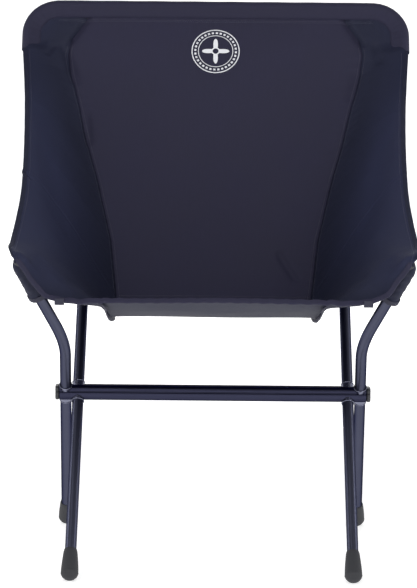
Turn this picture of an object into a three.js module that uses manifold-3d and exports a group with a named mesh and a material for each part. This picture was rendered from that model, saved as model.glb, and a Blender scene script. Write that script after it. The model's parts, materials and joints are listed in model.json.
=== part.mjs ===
// Ultralight backpacking chair: a shock-corded tube frame crossed through one hub bar, and a fabric sling.
// Millimetres, +Z up, the sitter faces -Y. The origin is on the floor under the middle of the chair.
import * as THREE from 'three';
import { mergeVertices } from 'three/addons/utils/BufferGeometryUtils.js';
import Module from 'manifold-3d';

const wasm = await Module();
wasm.setup();

// ---- Driving dimensions ----
const BAR_Y = -73.3;             // the hub bar's plane, from the middle of the chair's footprint
const HUB_HEIGHT = 247;
const BAR = { length: 478.5, height: 22, depth: 28, corner: 7, capLength: 6.2 };
const GROOVE = { height: 2, halfWidth: 1.3, depth: 2 };
const HOLLOW = { height: 15, depth: 20, corner: 4 };
const TUBE = { outer: 8.5, inner: 7.7 };          // every pole and leg: 17 mm outside
const FERRULE = { outer: 7.2, inner: 6.3, up: 15, down: 62, web: 3 };
const SLEEVE = { inner: 8.8, outer: 9.3, rim: 10, reach: 17, rimWidth: 2, holeRadius: 9.6 };
const FOOT = { ball: 13, shoulder: 11, lip: 9.9, length: 38, bore: 8.8, seat: 5, ballHeight: 11.5 };
const CORD = { radius: 1.4, knot: 3.2, knotLength: 5, hole: 1.8 };
const STOPPER = { radius: 7.2, length: 8, inset: 14 };
const SLING = { thickness: 2.5, gap: 0.4 };
const CLEAR = 0.35;              // between neighbouring pieces that touch on the real chair
const SIDES = 10;                // facets round a bent tube
const TURNED = 12;               // facets round a turned piece

// Hub points and foot centres on the +X side. The front leg's line runs up into the back pole,
// and the rear leg's line runs up into the seat pole, 18 mm further out.
const FRONT_LEG = { hub: [204.8, 0, HUB_HEIGHT], foot: [208.2, -196.8, FOOT.ballHeight] };
const REAR_LEG = { hub: [223.8, 0, HUB_HEIGHT], foot: [231, 200, FOOT.ballHeight] };

// Seat pole: straight out of the hub, one gentle bend outwards, straight into the corner pocket.
const SEAT_POLE = { straight: 115, before: 30, after: 42, tip: [281.5, -190, 469], plug: 7 };

// Back pole: straight out of the hub, a bend outwards, a straight run to the bow's plane, then the bow's round corner.
const BACK_POLE = { straight: 200, planeDrop: 85, joint: 100, elbowJoint: 70 };
const BOW = { rise: new THREE.Vector3(0, 0.515, 0.857), radius: 50, top: [0, 346, 816], elbowEnd: 215, side: 300 };
const JOINT_GAP = 0.4;
const CONNECTOR = { outer: 6.8, inner: 6, half: 16 };

// Sling: the middle line from the top tube over the back, the crease and the seat to the front hem, as [y, z].
const MIDDLE_LINE = [
  [346, 816], [327.5, 785.2], [308.9, 754.3], [262, 662], [215, 560], [172, 470],
  [132, 402], [82, 360], [20, 361], [-60, 377], [-130, 395], [-186, 411],
];
// Free side edge, from the bow's corner to the seat pole's tip, as [x, y, z].
const SIDE_EDGE = [
  [286, 308.9, 754.3], [295, 205, 697], [288.5, 100, 643], [285, -34, 556], [289, -100, 515], [290, -150, 484],
  [284, -186, 459],
];
const SLEEVE_WALL = { outer: 10.8, inner: 9.5 };
const CORNER_END = 72;           // how far down the middle line the cloth leaves the bow's plane
const WING = { rise: 0.95, flare: 0.35, hemFlat: 0.74, hemPower: 1.9 };
const PATCH = { middle: 79, radius: 38.5, thickness: 0.6, lift: 2.1 };
const POCKET = { outer: 12.2, inner: 9.8, depth: 75 };

const COLOURS = { tube: 0x34364a, rim: 0x6a6d80, plastic: 0x2f3035, rubber: 0x33343a, fabric: 0x2c2a3a,
  wing: 0x242436, binding: 0x1f1f2c, cord: 0x8a8d96, print: 0xe6e7ec };

// ---- Helpers ----
const chair = new THREE.Group();
const barFrame = new THREE.Group();      // everything is placed from the hub bar's plane
barFrame.position.set(0, BAR_Y, 0);
chair.add(barFrame);

const finishes = {};
for (const [name, colour] of Object.entries(COLOURS)) {
  const metal = name === 'tube' || name === 'rim';
  finishes[name] = { color: colour, roughness: metal ? 0.35 : 0.85, metalness: metal ? 0.8 : 0 };
}

// One closed body: shared corners joined, empty triangles dropped, faces turned outwards.
function closedBody(geometry) {
  geometry.deleteAttribute('normal');
  geometry.deleteAttribute('uv');
  const merged = mergeVertices(geometry, 1e-4);
  const corners = merged.index.array;
  const place = merged.attributes.position;
  const triangles = [];
  const [a, b, c] = [new THREE.Vector3(), new THREE.Vector3(), new THREE.Vector3()];
  let volume = 0;
  for (let i = 0; i < corners.length; i += 3) {
    const [p, q, r] = [corners[i], corners[i + 1], corners[i + 2]];
    if (p === q || q === r || r === p) continue;
    triangles.push([p, q, r]);
    volume += a.fromBufferAttribute(place, p).dot(b.fromBufferAttribute(place, q)
      .cross(c.fromBufferAttribute(place, r)));
  }
  merged.setIndex(triangles.flatMap(([p, q, r]) => (volume < 0 ? [p, r, q] : [p, q, r])));
  return merged;
}

function asSolid(geometry) {
  const body = closedBody(geometry);
  const triVerts = Uint32Array.from(body.index.array);
  return new wasm.Manifold(new wasm.Mesh({ numProp: 3, vertProperties: body.attributes.position.array, triVerts }));
}

function asGeometry(solid) {
  const mesh = solid.getMesh();
  const geometry = new THREE.BufferGeometry();
  geometry.setAttribute('position', new THREE.BufferAttribute(mesh.vertProperties, 3));
  geometry.setIndex(new THREE.BufferAttribute(mesh.triVerts, 1));
  return geometry;
}

function addPart(name, finish, geometry) {
  const mesh = new THREE.Mesh(closedBody(geometry), new THREE.MeshStandardMaterial(finishes[finish]));
  mesh.name = name;
  barFrame.add(mesh);
  return mesh;
}

const vector = (point, side = 1) => new THREE.Vector3(point[0] * side, point[1], point[2]);

// A turned piece about Z. The profile is [radius, height] and closes on itself or on the axis.
function turned(profile, facets = TURNED) {
  const points = profile.map(([radius, height]) => new THREE.Vector2(radius, height));
  return new THREE.LatheGeometry(points, facets).rotateX(Math.PI / 2);
}

function hollowRod(outer, inner, from, to) {
  return turned([[inner, from], [outer, from], [outer, to], [inner, to], [inner, from]]);
}

// Turns a piece made along +Z onto a direction, with its zero at a point.
function along(geometry, origin, direction) {
  const turn = new THREE.Quaternion().setFromUnitVectors(new THREE.Vector3(0, 0, 1), direction);
  return geometry.applyMatrix4(new THREE.Matrix4().compose(origin, turn, new THREE.Vector3(1, 1, 1)));
}

function ringShape(outer, inner, sides) {
  const circle = (radius) => Array.from({ length: sides }, (_, i) => {
    const angle = (i / sides) * 2 * Math.PI;
    return new THREE.Vector2(radius * Math.cos(angle), radius * Math.sin(angle));
  });
  const shape = new THREE.Shape(circle(outer));
  if (inner > 0) shape.holes.push(new THREE.Path(circle(inner)));
  return shape;
}

function bentTube(path, outer, inner, steps, sides = SIDES) {
  return new THREE.ExtrudeGeometry(ringShape(outer, inner, sides), { steps, extrudePath: path, curveSegments: 1 });
}

// A path through corner points, with each inner corner rounded by the reach given before and after it.
function roundedPath(points, reaches) {
  const path = new THREE.CurvePath();
  let from = points[0];
  for (let i = 1; i < points.length - 1; i += 1) {
    const into = points[i].clone().sub(points[i - 1]).normalize();
    const out = points[i + 1].clone().sub(points[i]).normalize();
    const start = points[i].clone().addScaledVector(into, -reaches[i - 1][0]);
    const end = points[i].clone().addScaledVector(out, reaches[i - 1][1]);
    path.add(new THREE.LineCurve3(from, start));
    path.add(new THREE.QuadraticBezierCurve3(start, points[i], end));
    from = end;
  }
  path.add(new THREE.LineCurve3(from, points[points.length - 1]));
  return path;
}

function roundedOutline(depth, height, corner, groove = null) {
  const [halfDepth, halfHeight] = [depth / 2, height / 2];
  const shape = new THREE.Shape();
  shape.moveTo(-halfDepth + corner, -halfHeight);
  shape.lineTo(halfDepth - corner, -halfHeight);
  shape.absarc(halfDepth - corner, -halfHeight + corner, corner, -Math.PI / 2, 0, false);
  if (groove) {
    shape.lineTo(halfDepth, groove.height - groove.halfWidth);
    shape.lineTo(halfDepth - groove.depth, groove.height);
    shape.lineTo(halfDepth, groove.height + groove.halfWidth);
  }
  shape.absarc(halfDepth - corner, halfHeight - corner, corner, 0, Math.PI / 2, false);
  shape.absarc(-halfDepth + corner, halfHeight - corner, corner, Math.PI / 2, Math.PI, false);
  if (groove) {
    shape.lineTo(-halfDepth, groove.height + groove.halfWidth);
    shape.lineTo(-halfDepth + groove.depth, groove.height);
    shape.lineTo(-halfDepth, groove.height - groove.halfWidth);
  }
  shape.absarc(-halfDepth + corner, -halfHeight + corner, corner, Math.PI, 1.5 * Math.PI, false);
  return shape;
}

// An outline in depth and height, extruded along X from one place to another at the hub's height.
function barLength(shape, from, to) {
  const geometry = new THREE.ExtrudeGeometry(shape, { depth: to - from, bevelEnabled: false, curveSegments: 3 });
  const axes = new THREE.Matrix4().makeBasis(
    new THREE.Vector3(0, 1, 0), new THREE.Vector3(0, 0, 1), new THREE.Vector3(1, 0, 0));
  return geometry.applyMatrix4(axes).translate(from, 0, HUB_HEIGHT);
}

// ---- Legs, hub sleeves, ferrules, feet and cords: one set on each leg line ----
const barEnd = BAR.length / 2 - BAR.capLength;
const outline = roundedOutline(BAR.depth, BAR.height, BAR.corner, GROOVE);
const holes = [];

function legLine(leg, side) {
  const hub = vector(leg.hub, side);
  const foot = vector(leg.foot, side);
  const down = foot.clone().sub(hub).normalize();
  return { hub, foot, down, length: hub.distanceTo(foot) };
}

function legSet(name, sideName, leg, side) {
  const line = legLine(leg, side);
  const put = (geometry) => along(geometry, line.hub, line.down);
  const reach = SLEEVE.reach;
  const rimFrom = reach - SLEEVE.rimWidth;
  addPart(`${name}_sleeve_${sideName}`, 'rim', put(turned([
    [SLEEVE.inner, -reach], [SLEEVE.rim, -reach], [SLEEVE.rim, -rimFrom], [SLEEVE.outer, -rimFrom],
    [SLEEVE.outer, rimFrom], [SLEEVE.rim, rimFrom], [SLEEVE.rim, reach], [SLEEVE.inner, reach],
    [SLEEVE.inner, -reach],
  ])));
  holes.push(put(turned([[0, -60], [SLEEVE.holeRadius, -60], [SLEEVE.holeRadius, 60], [0, 60]])));

  addPart(`${name}_ferrule_${sideName}`, 'rim', put(turned([
    [FERRULE.inner, -FERRULE.up], [FERRULE.outer, -FERRULE.up], [FERRULE.outer, FERRULE.down],
    [FERRULE.inner, FERRULE.down], [FERRULE.inner, FERRULE.web], [CORD.hole, FERRULE.web],
    [CORD.hole, 0], [FERRULE.inner, 0], [FERRULE.inner, -FERRULE.up],
  ])));

  const legEnd = line.length - FOOT.seat;
  addPart(`${name}_leg_${sideName}`, 'tube', put(hollowRod(TUBE.outer, TUBE.inner, CLEAR, legEnd)));

  const stopperTop = legEnd - STOPPER.inset;
  const stopperEnd = stopperTop + STOPPER.length;
  addPart(`${name}_cord_stopper_${sideName}`, 'plastic',
    put(hollowRod(STOPPER.radius, CORD.hole, stopperTop, stopperEnd)));

  // The cord runs from a knot above the ferrule's web to a knot under the stopper.
  const knots = [[-CLEAR - CORD.knotLength, -CLEAR], [stopperEnd + CLEAR, stopperEnd + CLEAR + CORD.knotLength]];
  addPart(`${name}_shock_cord_${sideName}`, 'cord', put(turned([
    [0, knots[0][0]], [CORD.knot, knots[0][0]], [CORD.knot, knots[0][1]], [CORD.radius, knots[0][1]],
    [CORD.radius, knots[1][0]], [CORD.knot, knots[1][0]], [CORD.knot, knots[1][1]], [0, knots[1][1]],
  ], 8)));

  // The foot: a rounded ball end, a bell that narrows to a lip, bored for the leg and cut flat by the floor.
  const profile = [];
  for (let i = 0; i <= 6; i += 1) {
    const angle = (i / 6) * (Math.PI / 2);
    profile.push([FOOT.ball * Math.sin(angle), FOOT.ball * Math.cos(angle)]);
  }
  profile.push([FOOT.ball, -5], [FOOT.shoulder, -24], [FOOT.lip, -FOOT.length + 2], [FOOT.lip, -FOOT.length],
    [FOOT.bore, -FOOT.length], [FOOT.bore, -FOOT.seat + CLEAR], [0, -FOOT.seat + CLEAR]);
  const foot = along(turned(profile), line.foot, line.down);
  const floor = new THREE.BoxGeometry(60, 60, 60).translate(line.foot.x, line.foot.y, -30);
  addPart(`${name}_foot_${sideName}`, 'rubber', asGeometry(asSolid(foot).subtract(asSolid(floor))));
}

// ---- Bent poles ----
const upFrom = (leg, side, distance) => {
  const line = legLine(leg, side);
  return line.hub.clone().addScaledVector(line.down, -distance);
};

function tipDirection(side) {
  return vector(SEAT_POLE.tip, side).sub(upFrom(REAR_LEG, side, SEAT_POLE.straight)).normalize();
}

function seatPole(sideName, side) {
  const tip = vector(SEAT_POLE.tip, side);
  const into = tipDirection(side);
  const path = roundedPath([upFrom(REAR_LEG, side, CLEAR), upFrom(REAR_LEG, side, SEAT_POLE.straight), tip],
    [[SEAT_POLE.before, SEAT_POLE.after]]);
  addPart(`seat_pole_${sideName}`, 'tube', bentTube(path, TUBE.outer, TUBE.inner, 12));
  // The plug's head is wider than the tube, and its stem goes inside the tube.
  addPart(`seat_pole_plug_${sideName}`, 'plastic', along(turned([
    [0, -14], [FERRULE.outer, -14], [FERRULE.outer, CLEAR], [TUBE.outer + 0.6, CLEAR],
    [TUBE.outer + 0.6, 3], [TUBE.outer - 2, SEAT_POLE.plug], [0, SEAT_POLE.plug],
  ]), tip, into));
}

function bowPoint(side, x, drop) {
  return vector(BOW.top).setX(x * side).addScaledVector(BOW.rise, -drop);
}

function connector(name, point, direction) {
  const { outer, inner, half } = CONNECTOR;
  addPart(name, 'rim', along(hollowRod(outer, inner, -half, half), point, direction));
}

function backPole(sideName, side) {
  const first = upFrom(FRONT_LEG, side, BACK_POLE.straight);
  const second = bowPoint(side, BOW.side, BACK_POLE.planeDrop);
  const leaning = second.clone().sub(first).normalize();
  const joint = first.clone().addScaledVector(leaning, BACK_POLE.joint);
  const elbowJoint = second.clone().addScaledVector(leaning, -BACK_POLE.elbowJoint);
  const gap = JOINT_GAP / 2;
  const lowerEnd = joint.clone().addScaledVector(leaning, -gap);
  const lower = roundedPath([upFrom(FRONT_LEG, side, CLEAR), first, lowerEnd], [[45, 45]]);
  addPart(`back_pole_lower_${sideName}`, 'tube', bentTube(lower, TUBE.outer, TUBE.inner, 12));
  connector(`back_pole_ferrule_${sideName}`, joint, leaning);

  const upperLength = joint.distanceTo(elbowJoint);
  addPart(`back_pole_upper_${sideName}`, 'tube', along(
    hollowRod(TUBE.outer, TUBE.inner, gap, upperLength - gap), joint, leaning));
  connector(`bow_side_connector_${sideName}`, elbowJoint, leaning);

  const corner = bowPoint(side, BOW.side, 0);
  const elbowEnd = bowPoint(side, BOW.elbowEnd, 0);
  const lead = bowPoint(side, BOW.side, BOW.radius + 2);
  const elbow = roundedPath([elbowJoint.clone().addScaledVector(leaning, gap), second, lead], [[35, 10]]);
  cornerPath([lead, corner, elbowEnd], BOW.radius).curves.forEach((curve) => elbow.add(curve));
  addPart(`bow_elbow_${sideName}`, 'tube', bentTube(elbow, TUBE.outer, TUBE.inner, 15));
  connector(`bow_top_connector_${sideName}`, elbowEnd, new THREE.Vector3(-side, 0, 0));

  const cord = roundedPath([upFrom(FRONT_LEG, side, 20), first, second, lead], [[45, 45], [35, 10]]);
  cornerPath([lead, corner, elbowEnd], BOW.radius).curves.forEach((curve) => cord.add(curve));
  addPart(`back_pole_shock_cord_${sideName}`, 'cord', bentTube(cord, CORD.radius, 0, 26, 8));
}

// A square corner rounded by a quarter circle.
function cornerPath([from, corner, to], radius) {
  const into = corner.clone().sub(from).normalize();
  const out = to.clone().sub(corner).normalize();
  const start = corner.clone().addScaledVector(into, -radius);
  const end = corner.clone().addScaledVector(out, radius);
  const centre = start.clone().addScaledVector(out, radius);
  const arc = new THREE.CatmullRomCurve3(Array.from({ length: 7 }, (_, i) => {
    const angle = (i / 6) * (Math.PI / 2);
    return centre.clone().addScaledVector(out, -radius * Math.cos(angle))
      .addScaledVector(into, radius * Math.sin(angle));
  }));
  const path = new THREE.CurvePath();
  path.add(new THREE.LineCurve3(from, start));
  path.add(arc);
  path.add(new THREE.LineCurve3(end, to));
  return path;
}

// ---- Sling surface ----
// Ribs run from side to side. A rib is named by its distance down the middle line from the top tube.
const middleCurve = new THREE.CatmullRomCurve3(MIDDLE_LINE.map(([y, z]) => new THREE.Vector3(0, y, z)));
const edgeCurve = new THREE.CatmullRomCurve3(SIDE_EDGE.map((point) => vector(point)));
const RIB_LENGTH = middleCurve.getLength();
const CREASE = 0.62 * RIB_LENGTH;        // where the back panel meets the seat panel
const mix = THREE.MathUtils.lerp;
const ramp = (value, from, to) => THREE.MathUtils.clamp((value - from) / (to - from), 0, 1);

// Half width of the space inside the bow's sleeve, near the top.
function cornerWidth(rib) {
  const inner = BOW.radius - SLEEVE_WALL.outer - SLING.gap;
  const below = Math.min(BOW.radius - rib, inner);
  return BOW.side - BOW.radius + Math.sqrt(inner * inner - Math.max(below, 0) ** 2);
}

// Half width of the centre panels: widest at the top corners, narrowest at the seat.
function seamWidth(rib) {
  const drop = [40, 60, 154, 190, 243, 300, 400, CREASE, RIB_LENGTH];
  const width = [266, 259, 224, 212, 200, 184, 161, 150, 164];
  let i = 1;
  while (i < drop.length - 1 && rib > drop[i]) i += 1;
  return mix(width[i - 1], width[i], ramp(rib, drop[i - 1], drop[i]));
}

// The wing's climb across its width: steep from the seam, and flaring level towards the free edge.
function flared(out) {
  const { rise, flare } = WING;
  return out * (rise + out * (3 - 2 * rise - flare - out * (2 - rise - flare)));
}

function slingPoint(rib, across) {
  const middle = middleCurve.getPointAt(rib / RIB_LENGTH);
  if (rib <= CORNER_END) return middle.setX(across * cornerWidth(rib));
  const share = (rib - CORNER_END) / (RIB_LENGTH - CORNER_END);
  const edge = edgeCurve.getPointAt(share);
  // The centre panel stays flat, and each wing climbs from its seam to the edge. At the hem the climb starts later.
  const flat = mix(seamWidth(rib) / edge.x, WING.hemFlat, ramp(share, 0.65, 1));
  const out = ramp(Math.abs(across), flat, 1);
  const climb = mix(flared(out), out ** WING.hemPower, ramp(share, 0.45, 1));
  return new THREE.Vector3(across * edge.x, mix(middle.y, edge.y, climb), mix(middle.z, edge.z, climb));
}

function ribEdge(rib) {
  return rib <= CORNER_END ? cornerWidth(rib) : slingPoint(rib, 1).x;
}

// A thin closed plate about a surface, given as a function of two shares from 0 to 1.
function plate(pointAt, rows, columns, thickness, lift = 0) {
  const places = [];
  const step = 1e-3;
  for (const offset of [lift + thickness / 2, lift - thickness / 2]) {
    for (let i = 0; i <= rows; i += 1) {
      for (let j = 0; j <= columns; j += 1) {
        const [u, v] = [i / rows, j / columns];
        const along = pointAt(Math.min(u + step, 1), v).sub(pointAt(Math.max(u - step, 0), v));
        const across = pointAt(u, Math.min(v + step, 1)).sub(pointAt(u, Math.max(v - step, 0)));
        const normal = along.cross(across).normalize();
        places.push(...pointAt(u, v).addScaledVector(normal, offset).toArray());
      }
    }
  }
  const index = [];
  const layer = (rows + 1) * (columns + 1);
  const at = (i, j, k) => k * layer + i * (columns + 1) + j;
  const quad = (a, b, c, d) => index.push(a, b, c, a, c, d);
  for (let i = 0; i < rows; i += 1) {
    for (let j = 0; j < columns; j += 1) {
      quad(at(i, j, 0), at(i + 1, j, 0), at(i + 1, j + 1, 0), at(i, j + 1, 0));
      quad(at(i, j, 1), at(i, j + 1, 1), at(i + 1, j + 1, 1), at(i + 1, j, 1));
    }
    quad(at(i, 0, 0), at(i, 0, 1), at(i + 1, 0, 1), at(i + 1, 0, 0));
    quad(at(i, columns, 0), at(i + 1, columns, 0), at(i + 1, columns, 1), at(i, columns, 1));
  }
  for (let j = 0; j < columns; j += 1) {
    quad(at(0, j, 0), at(0, j + 1, 0), at(0, j + 1, 1), at(0, j, 1));
    quad(at(rows, j, 0), at(rows, j, 1), at(rows, j + 1, 1), at(rows, j + 1, 0));
  }
  const geometry = new THREE.BufferGeometry();
  geometry.setAttribute('position', new THREE.Float32BufferAttribute(places, 3));
  geometry.setIndex(index);
  return geometry;
}

function mirrored(geometry, side) {
  return side > 0 ? geometry : geometry.scale(-1, 1, 1);
}

function centrePanel(name, from, to, rows) {
  addPart(name, 'fabric', plate((u, v) => {
    const rib = mix(from, to, u);
    const half = Math.min(seamWidth(rib) - SLING.gap, ribEdge(rib) - SLING.gap);
    return slingPoint(rib, (half * (2 * v - 1)) / ribEdge(rib));
  }, rows, 8, SLING.thickness));
}

// The pocket's space, a round bar with a round end, that the wing is cut back from.
function pocketSpace(side) {
  const tip = vector(SEAT_POLE.tip, side);
  const radius = POCKET.outer + 0.6;
  const profile = [[0, -POCKET.depth - 10], [radius, -POCKET.depth - 10], [radius, SEAT_POLE.plug],
    [radius * 0.7, SEAT_POLE.plug + 6], [0, SEAT_POLE.plug + 7]];
  return along(turned(profile), tip, tipDirection(side));
}

function wing(sideName, side) {
  const [top, bottom] = [46, RIB_LENGTH];
  const sheet = plate((u, v) => {
    const rib = mix(top, bottom, u);
    const seam = (seamWidth(rib) + 3 * SLING.gap) / ribEdge(rib);
    return slingPoint(rib, mix(seam, 1, v));
  }, 16, 6, SLING.thickness);
  addPart(`wing_${sideName}`, 'wing', asGeometry(
    asSolid(mirrored(sheet, side)).subtract(asSolid(pocketSpace(side)))));
}

// Binding along the wing's free edge, from the bow down to the pocket.
function sideBinding(sideName, side) {
  const points = [];
  for (let i = 0; i <= 14; i += 1) {
    const rib = mix(CORNER_END + 40, RIB_LENGTH - 75, i / 14);
    points.push(slingPoint(rib, 1).add(new THREE.Vector3(3.9, 0, 0)).multiply(new THREE.Vector3(side, 1, 1)));
  }
  addPart(`side_binding_${sideName}`, 'binding', bentTube(new THREE.CatmullRomCurve3(points), 2.4, 0, 14, 6));
}

function frontHem() {
  const points = [];
  for (let i = 0; i <= 16; i += 1) {
    const across = mix(-0.92, 0.92, i / 16);
    points.push(slingPoint(RIB_LENGTH, across).add(new THREE.Vector3(0, -4.4, 0)));
  }
  addPart('front_hem', 'binding', bentTube(new THREE.CatmullRomCurve3(points), 3.2, 0, 22, 8));
}

// The sleeve round the bow: a straight run along the top, joined to a rounded end at each side.
function topSleeve() {
  const drop = CORNER_END + 6;
  const straight = BOW.side - BOW.radius - 8;
  const { outer, inner } = SLEEVE_WALL;
  const tube = bentTube(new THREE.LineCurve3(bowPoint(-1, straight, 0), bowPoint(1, straight, 0)), outer, inner, 1);
  let sleeve = asSolid(tube);
  for (const side of [-1, 1]) {
    const path = cornerPath([bowPoint(side, straight - 1, 0), bowPoint(side, BOW.side, 0),
      bowPoint(side, BOW.side, drop)], BOW.radius);
    sleeve = sleeve.add(asSolid(bentTube(path, outer, inner, 10)));
  }
  addPart('top_sleeve', 'fabric', asGeometry(sleeve));
}

function cornerPocket(sideName, side) {
  const end = SEAT_POLE.plug + CLEAR;
  const profile = [
    [POCKET.inner, -POCKET.depth], [POCKET.outer, -POCKET.depth], [POCKET.outer, SEAT_POLE.plug - 2],
    [POCKET.outer * 0.7, end + 3], [0, end + 3.6], [0, end + 0.8], [POCKET.inner * 0.7, end + 0.8],
    [POCKET.inner, SEAT_POLE.plug - 3], [POCKET.inner, -POCKET.depth],
  ];
  addPart(`corner_pocket_${sideName}`, 'binding', along(turned(profile), vector(SEAT_POLE.tip, side),
    tipDirection(side)));
}

function frontTab(sideName, side) {
  const hem = slingPoint(RIB_LENGTH, 0.79);
  const tab = new THREE.BoxGeometry(16, 2.4, 5).translate(side * hem.x, hem.y - 4.4, hem.z - 3.2 - 3.8);
  addPart(`front_tab_${sideName}`, 'binding', tab);
}

// A round patch on the front of the back panel, following its curve: a square grid drawn into a circle.
function roundPatch() {
  addPart('round_patch', 'print', plate((u, v) => {
    const [down, across] = [2 * u - 1, 2 * v - 1];
    const rib = PATCH.middle + PATCH.radius * down * Math.sqrt(1 - across ** 2 / 2);
    const x = PATCH.radius * across * Math.sqrt(1 - down ** 2 / 2);
    return slingPoint(rib, x / ribEdge(rib));
  }, 6, 6, PATCH.thickness, PATCH.lift));
}

// ---- Hub bar with its four slanted holes, and its end caps ----
function hubBar() {
  let bar = asSolid(barLength(outline, -barEnd, barEnd));
  const hollow = barLength(roundedOutline(HOLLOW.depth, HOLLOW.height, HOLLOW.corner), -barEnd - 1, barEnd + 1);
  bar = bar.subtract(asSolid(hollow));
  for (const hole of holes) bar = bar.subtract(asSolid(hole));
  addPart('hub_bar', 'tube', asGeometry(bar));
}

// The cap's stem sits inside the bar, notched where the rear leg's sleeve passes.
function hubCap(sideName, side) {
  const [inner, outer] = [barEnd + CLEAR, BAR.length / 2];
  const stemStart = barEnd - 7;
  const stemOutline = roundedOutline(HOLLOW.depth - 0.8, HOLLOW.height - 0.8, HOLLOW.corner - 0.4);
  const flange = side > 0 ? barLength(outline, inner, outer) : barLength(outline, -outer, -inner);
  const stem = side > 0 ? barLength(stemOutline, stemStart, inner + 2) : barLength(stemOutline, -inner - 2, -stemStart);
  let cap = asSolid(flange).add(asSolid(stem));
  for (const hole of holes) cap = cap.subtract(asSolid(hole));
  addPart(`hub_end_cap_${sideName}`, 'plastic', asGeometry(cap));
}

// ---- Assembly ----
for (const [sideName, side] of [['left', -1], ['right', 1]]) {
  legSet('front', sideName, FRONT_LEG, side);
  legSet('rear', sideName, REAR_LEG, side);
  seatPole(sideName, side);
  backPole(sideName, side);
}
hubBar();
const topTubeHalf = BOW.elbowEnd - JOINT_GAP;
addPart('bow_top_tube', 'tube', along(hollowRod(TUBE.outer, TUBE.inner, -topTubeHalf, topTubeHalf),
  vector(BOW.top), new THREE.Vector3(1, 0, 0)));
centrePanel('back_panel', 12, CREASE - SLING.gap, 12);
centrePanel('seat_panel', CREASE + SLING.gap, RIB_LENGTH, 9);
for (const [sideName, side] of [['left', -1], ['right', 1]]) {
  hubCap(sideName, side);
  wing(sideName, side);
  sideBinding(sideName, side);
  cornerPocket(sideName, side);
  frontTab(sideName, side);
}
frontHem();
topSleeve();
roundPatch();

export default chair;
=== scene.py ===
"""Looks for the ultralight backpacking chair: tubes, hub fittings, sling, hems, pockets and stitching.

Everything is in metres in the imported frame: +Z up, the sitter faces -Y, the origin on the floor.
"""
import json
import math

import bmesh
import bpy
import numpy as np
from bpy.props import FloatProperty, FloatVectorProperty, PointerProperty
from mathutils import Matrix, Vector


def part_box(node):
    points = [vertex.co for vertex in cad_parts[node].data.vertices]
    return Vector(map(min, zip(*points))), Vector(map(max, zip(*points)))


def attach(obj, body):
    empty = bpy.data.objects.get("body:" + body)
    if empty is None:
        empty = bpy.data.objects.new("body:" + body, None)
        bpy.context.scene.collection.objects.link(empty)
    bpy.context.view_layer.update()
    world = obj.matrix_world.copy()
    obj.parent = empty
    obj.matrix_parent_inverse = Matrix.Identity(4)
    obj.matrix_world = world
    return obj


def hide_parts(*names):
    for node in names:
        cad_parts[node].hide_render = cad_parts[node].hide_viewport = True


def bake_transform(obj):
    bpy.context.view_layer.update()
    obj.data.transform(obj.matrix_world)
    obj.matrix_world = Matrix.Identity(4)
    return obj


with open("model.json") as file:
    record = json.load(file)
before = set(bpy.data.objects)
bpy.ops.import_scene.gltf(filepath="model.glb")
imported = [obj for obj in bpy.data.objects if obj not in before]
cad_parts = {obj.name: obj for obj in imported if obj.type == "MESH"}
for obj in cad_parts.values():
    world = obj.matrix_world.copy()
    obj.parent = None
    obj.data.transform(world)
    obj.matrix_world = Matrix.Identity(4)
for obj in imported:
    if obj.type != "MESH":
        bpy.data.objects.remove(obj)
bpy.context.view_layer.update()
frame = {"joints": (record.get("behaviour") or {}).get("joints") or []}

bl_info = {
    "name": "Backpacking Chair",
    "version": (1, 0, 0),
    "blender": (4, 5, 0),
    "location": "View3D > Sidebar > Chair",
    "description": "Tubes, hub fittings, sling and stitching of a shock-corded backpacking chair",
    "category": "Add Mesh",
}

# ---- Places taken from the frame ----
MM = 0.001
SIDES = (("left", -1), ("right", 1))
HUB = (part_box("hub_bar")[0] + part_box("hub_bar")[1]) / 2
JOINTS = {joint["name"]: joint for joint in frame["joints"]}
ROOT = "root"
X_AXIS, Z_AXIS = np.eye(3)[[0, 2]]

# ---- Frame sizes, in metres ----
TUBE_OUTER, TUBE_INNER, TUBE_LIP = 8.5 * MM, 7.7 * MM, 0.25 * MM
CLEAR = 0.35 * MM                       # between neighbours that touch
FOOT_BALL_HEIGHT, FOOT_SEAT = 11.5 * MM, 5 * MM
SEAT_POLE_STRAIGHT, BACK_POLE_STRAIGHT = 115 * MM, 200 * MM
POLE_JOINT, ELBOW_JOINT, JOINT_GAP = 100 * MM, 70 * MM, 0.4 * MM
BOW_RADIUS, BOW_SIDE, BOW_ELBOW_END, BOW_BEND = 50 * MM, 300 * MM, 215 * MM, 85 * MM
BOW_RISE = np.array((0, 0.515, 0.857))
BAR = {"length": 478.5 * MM, "cap": 6.2 * MM, "height": 22 * MM, "depth": 28 * MM, "corner": 7 * MM,
       "hollow": (20 * MM, 15 * MM, 4 * MM)}
GROOVE = {"height": 2 * MM, "half_width": 1.3 * MM, "depth": 2 * MM}
HOLE = {"radius": 9.6 * MM, "reach": 60 * MM}
CORD_RADIUS = 1.4 * MM
FINE = 48                               # facets round a turned piece
SPAN_STEPS = 24                         # points in each span of a smooth line
JOIN_WITHIN = 1e-6                      # how close doubled points lie

# ---- Sling shape: rows run from side to side, each named by its distance down the middle line ----
CORNER_END = 72 * MM                    # where a row leaves the bow's round corners
HEM_FLAT = 0.74                         # share of the hem that stays level before the corners climb
HEM_POWER = 1.9                         # how late the hem climbs to its corners
WING_RISE, WING_FLARE = 0.95, 0.35      # the wing's slope at its seam and at its free edge


def from_hub(x, y, z):
    """A point given in millimetres from the plane of the hub bar."""
    return np.array((x * MM, y * MM + HUB.y, z * MM))


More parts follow.
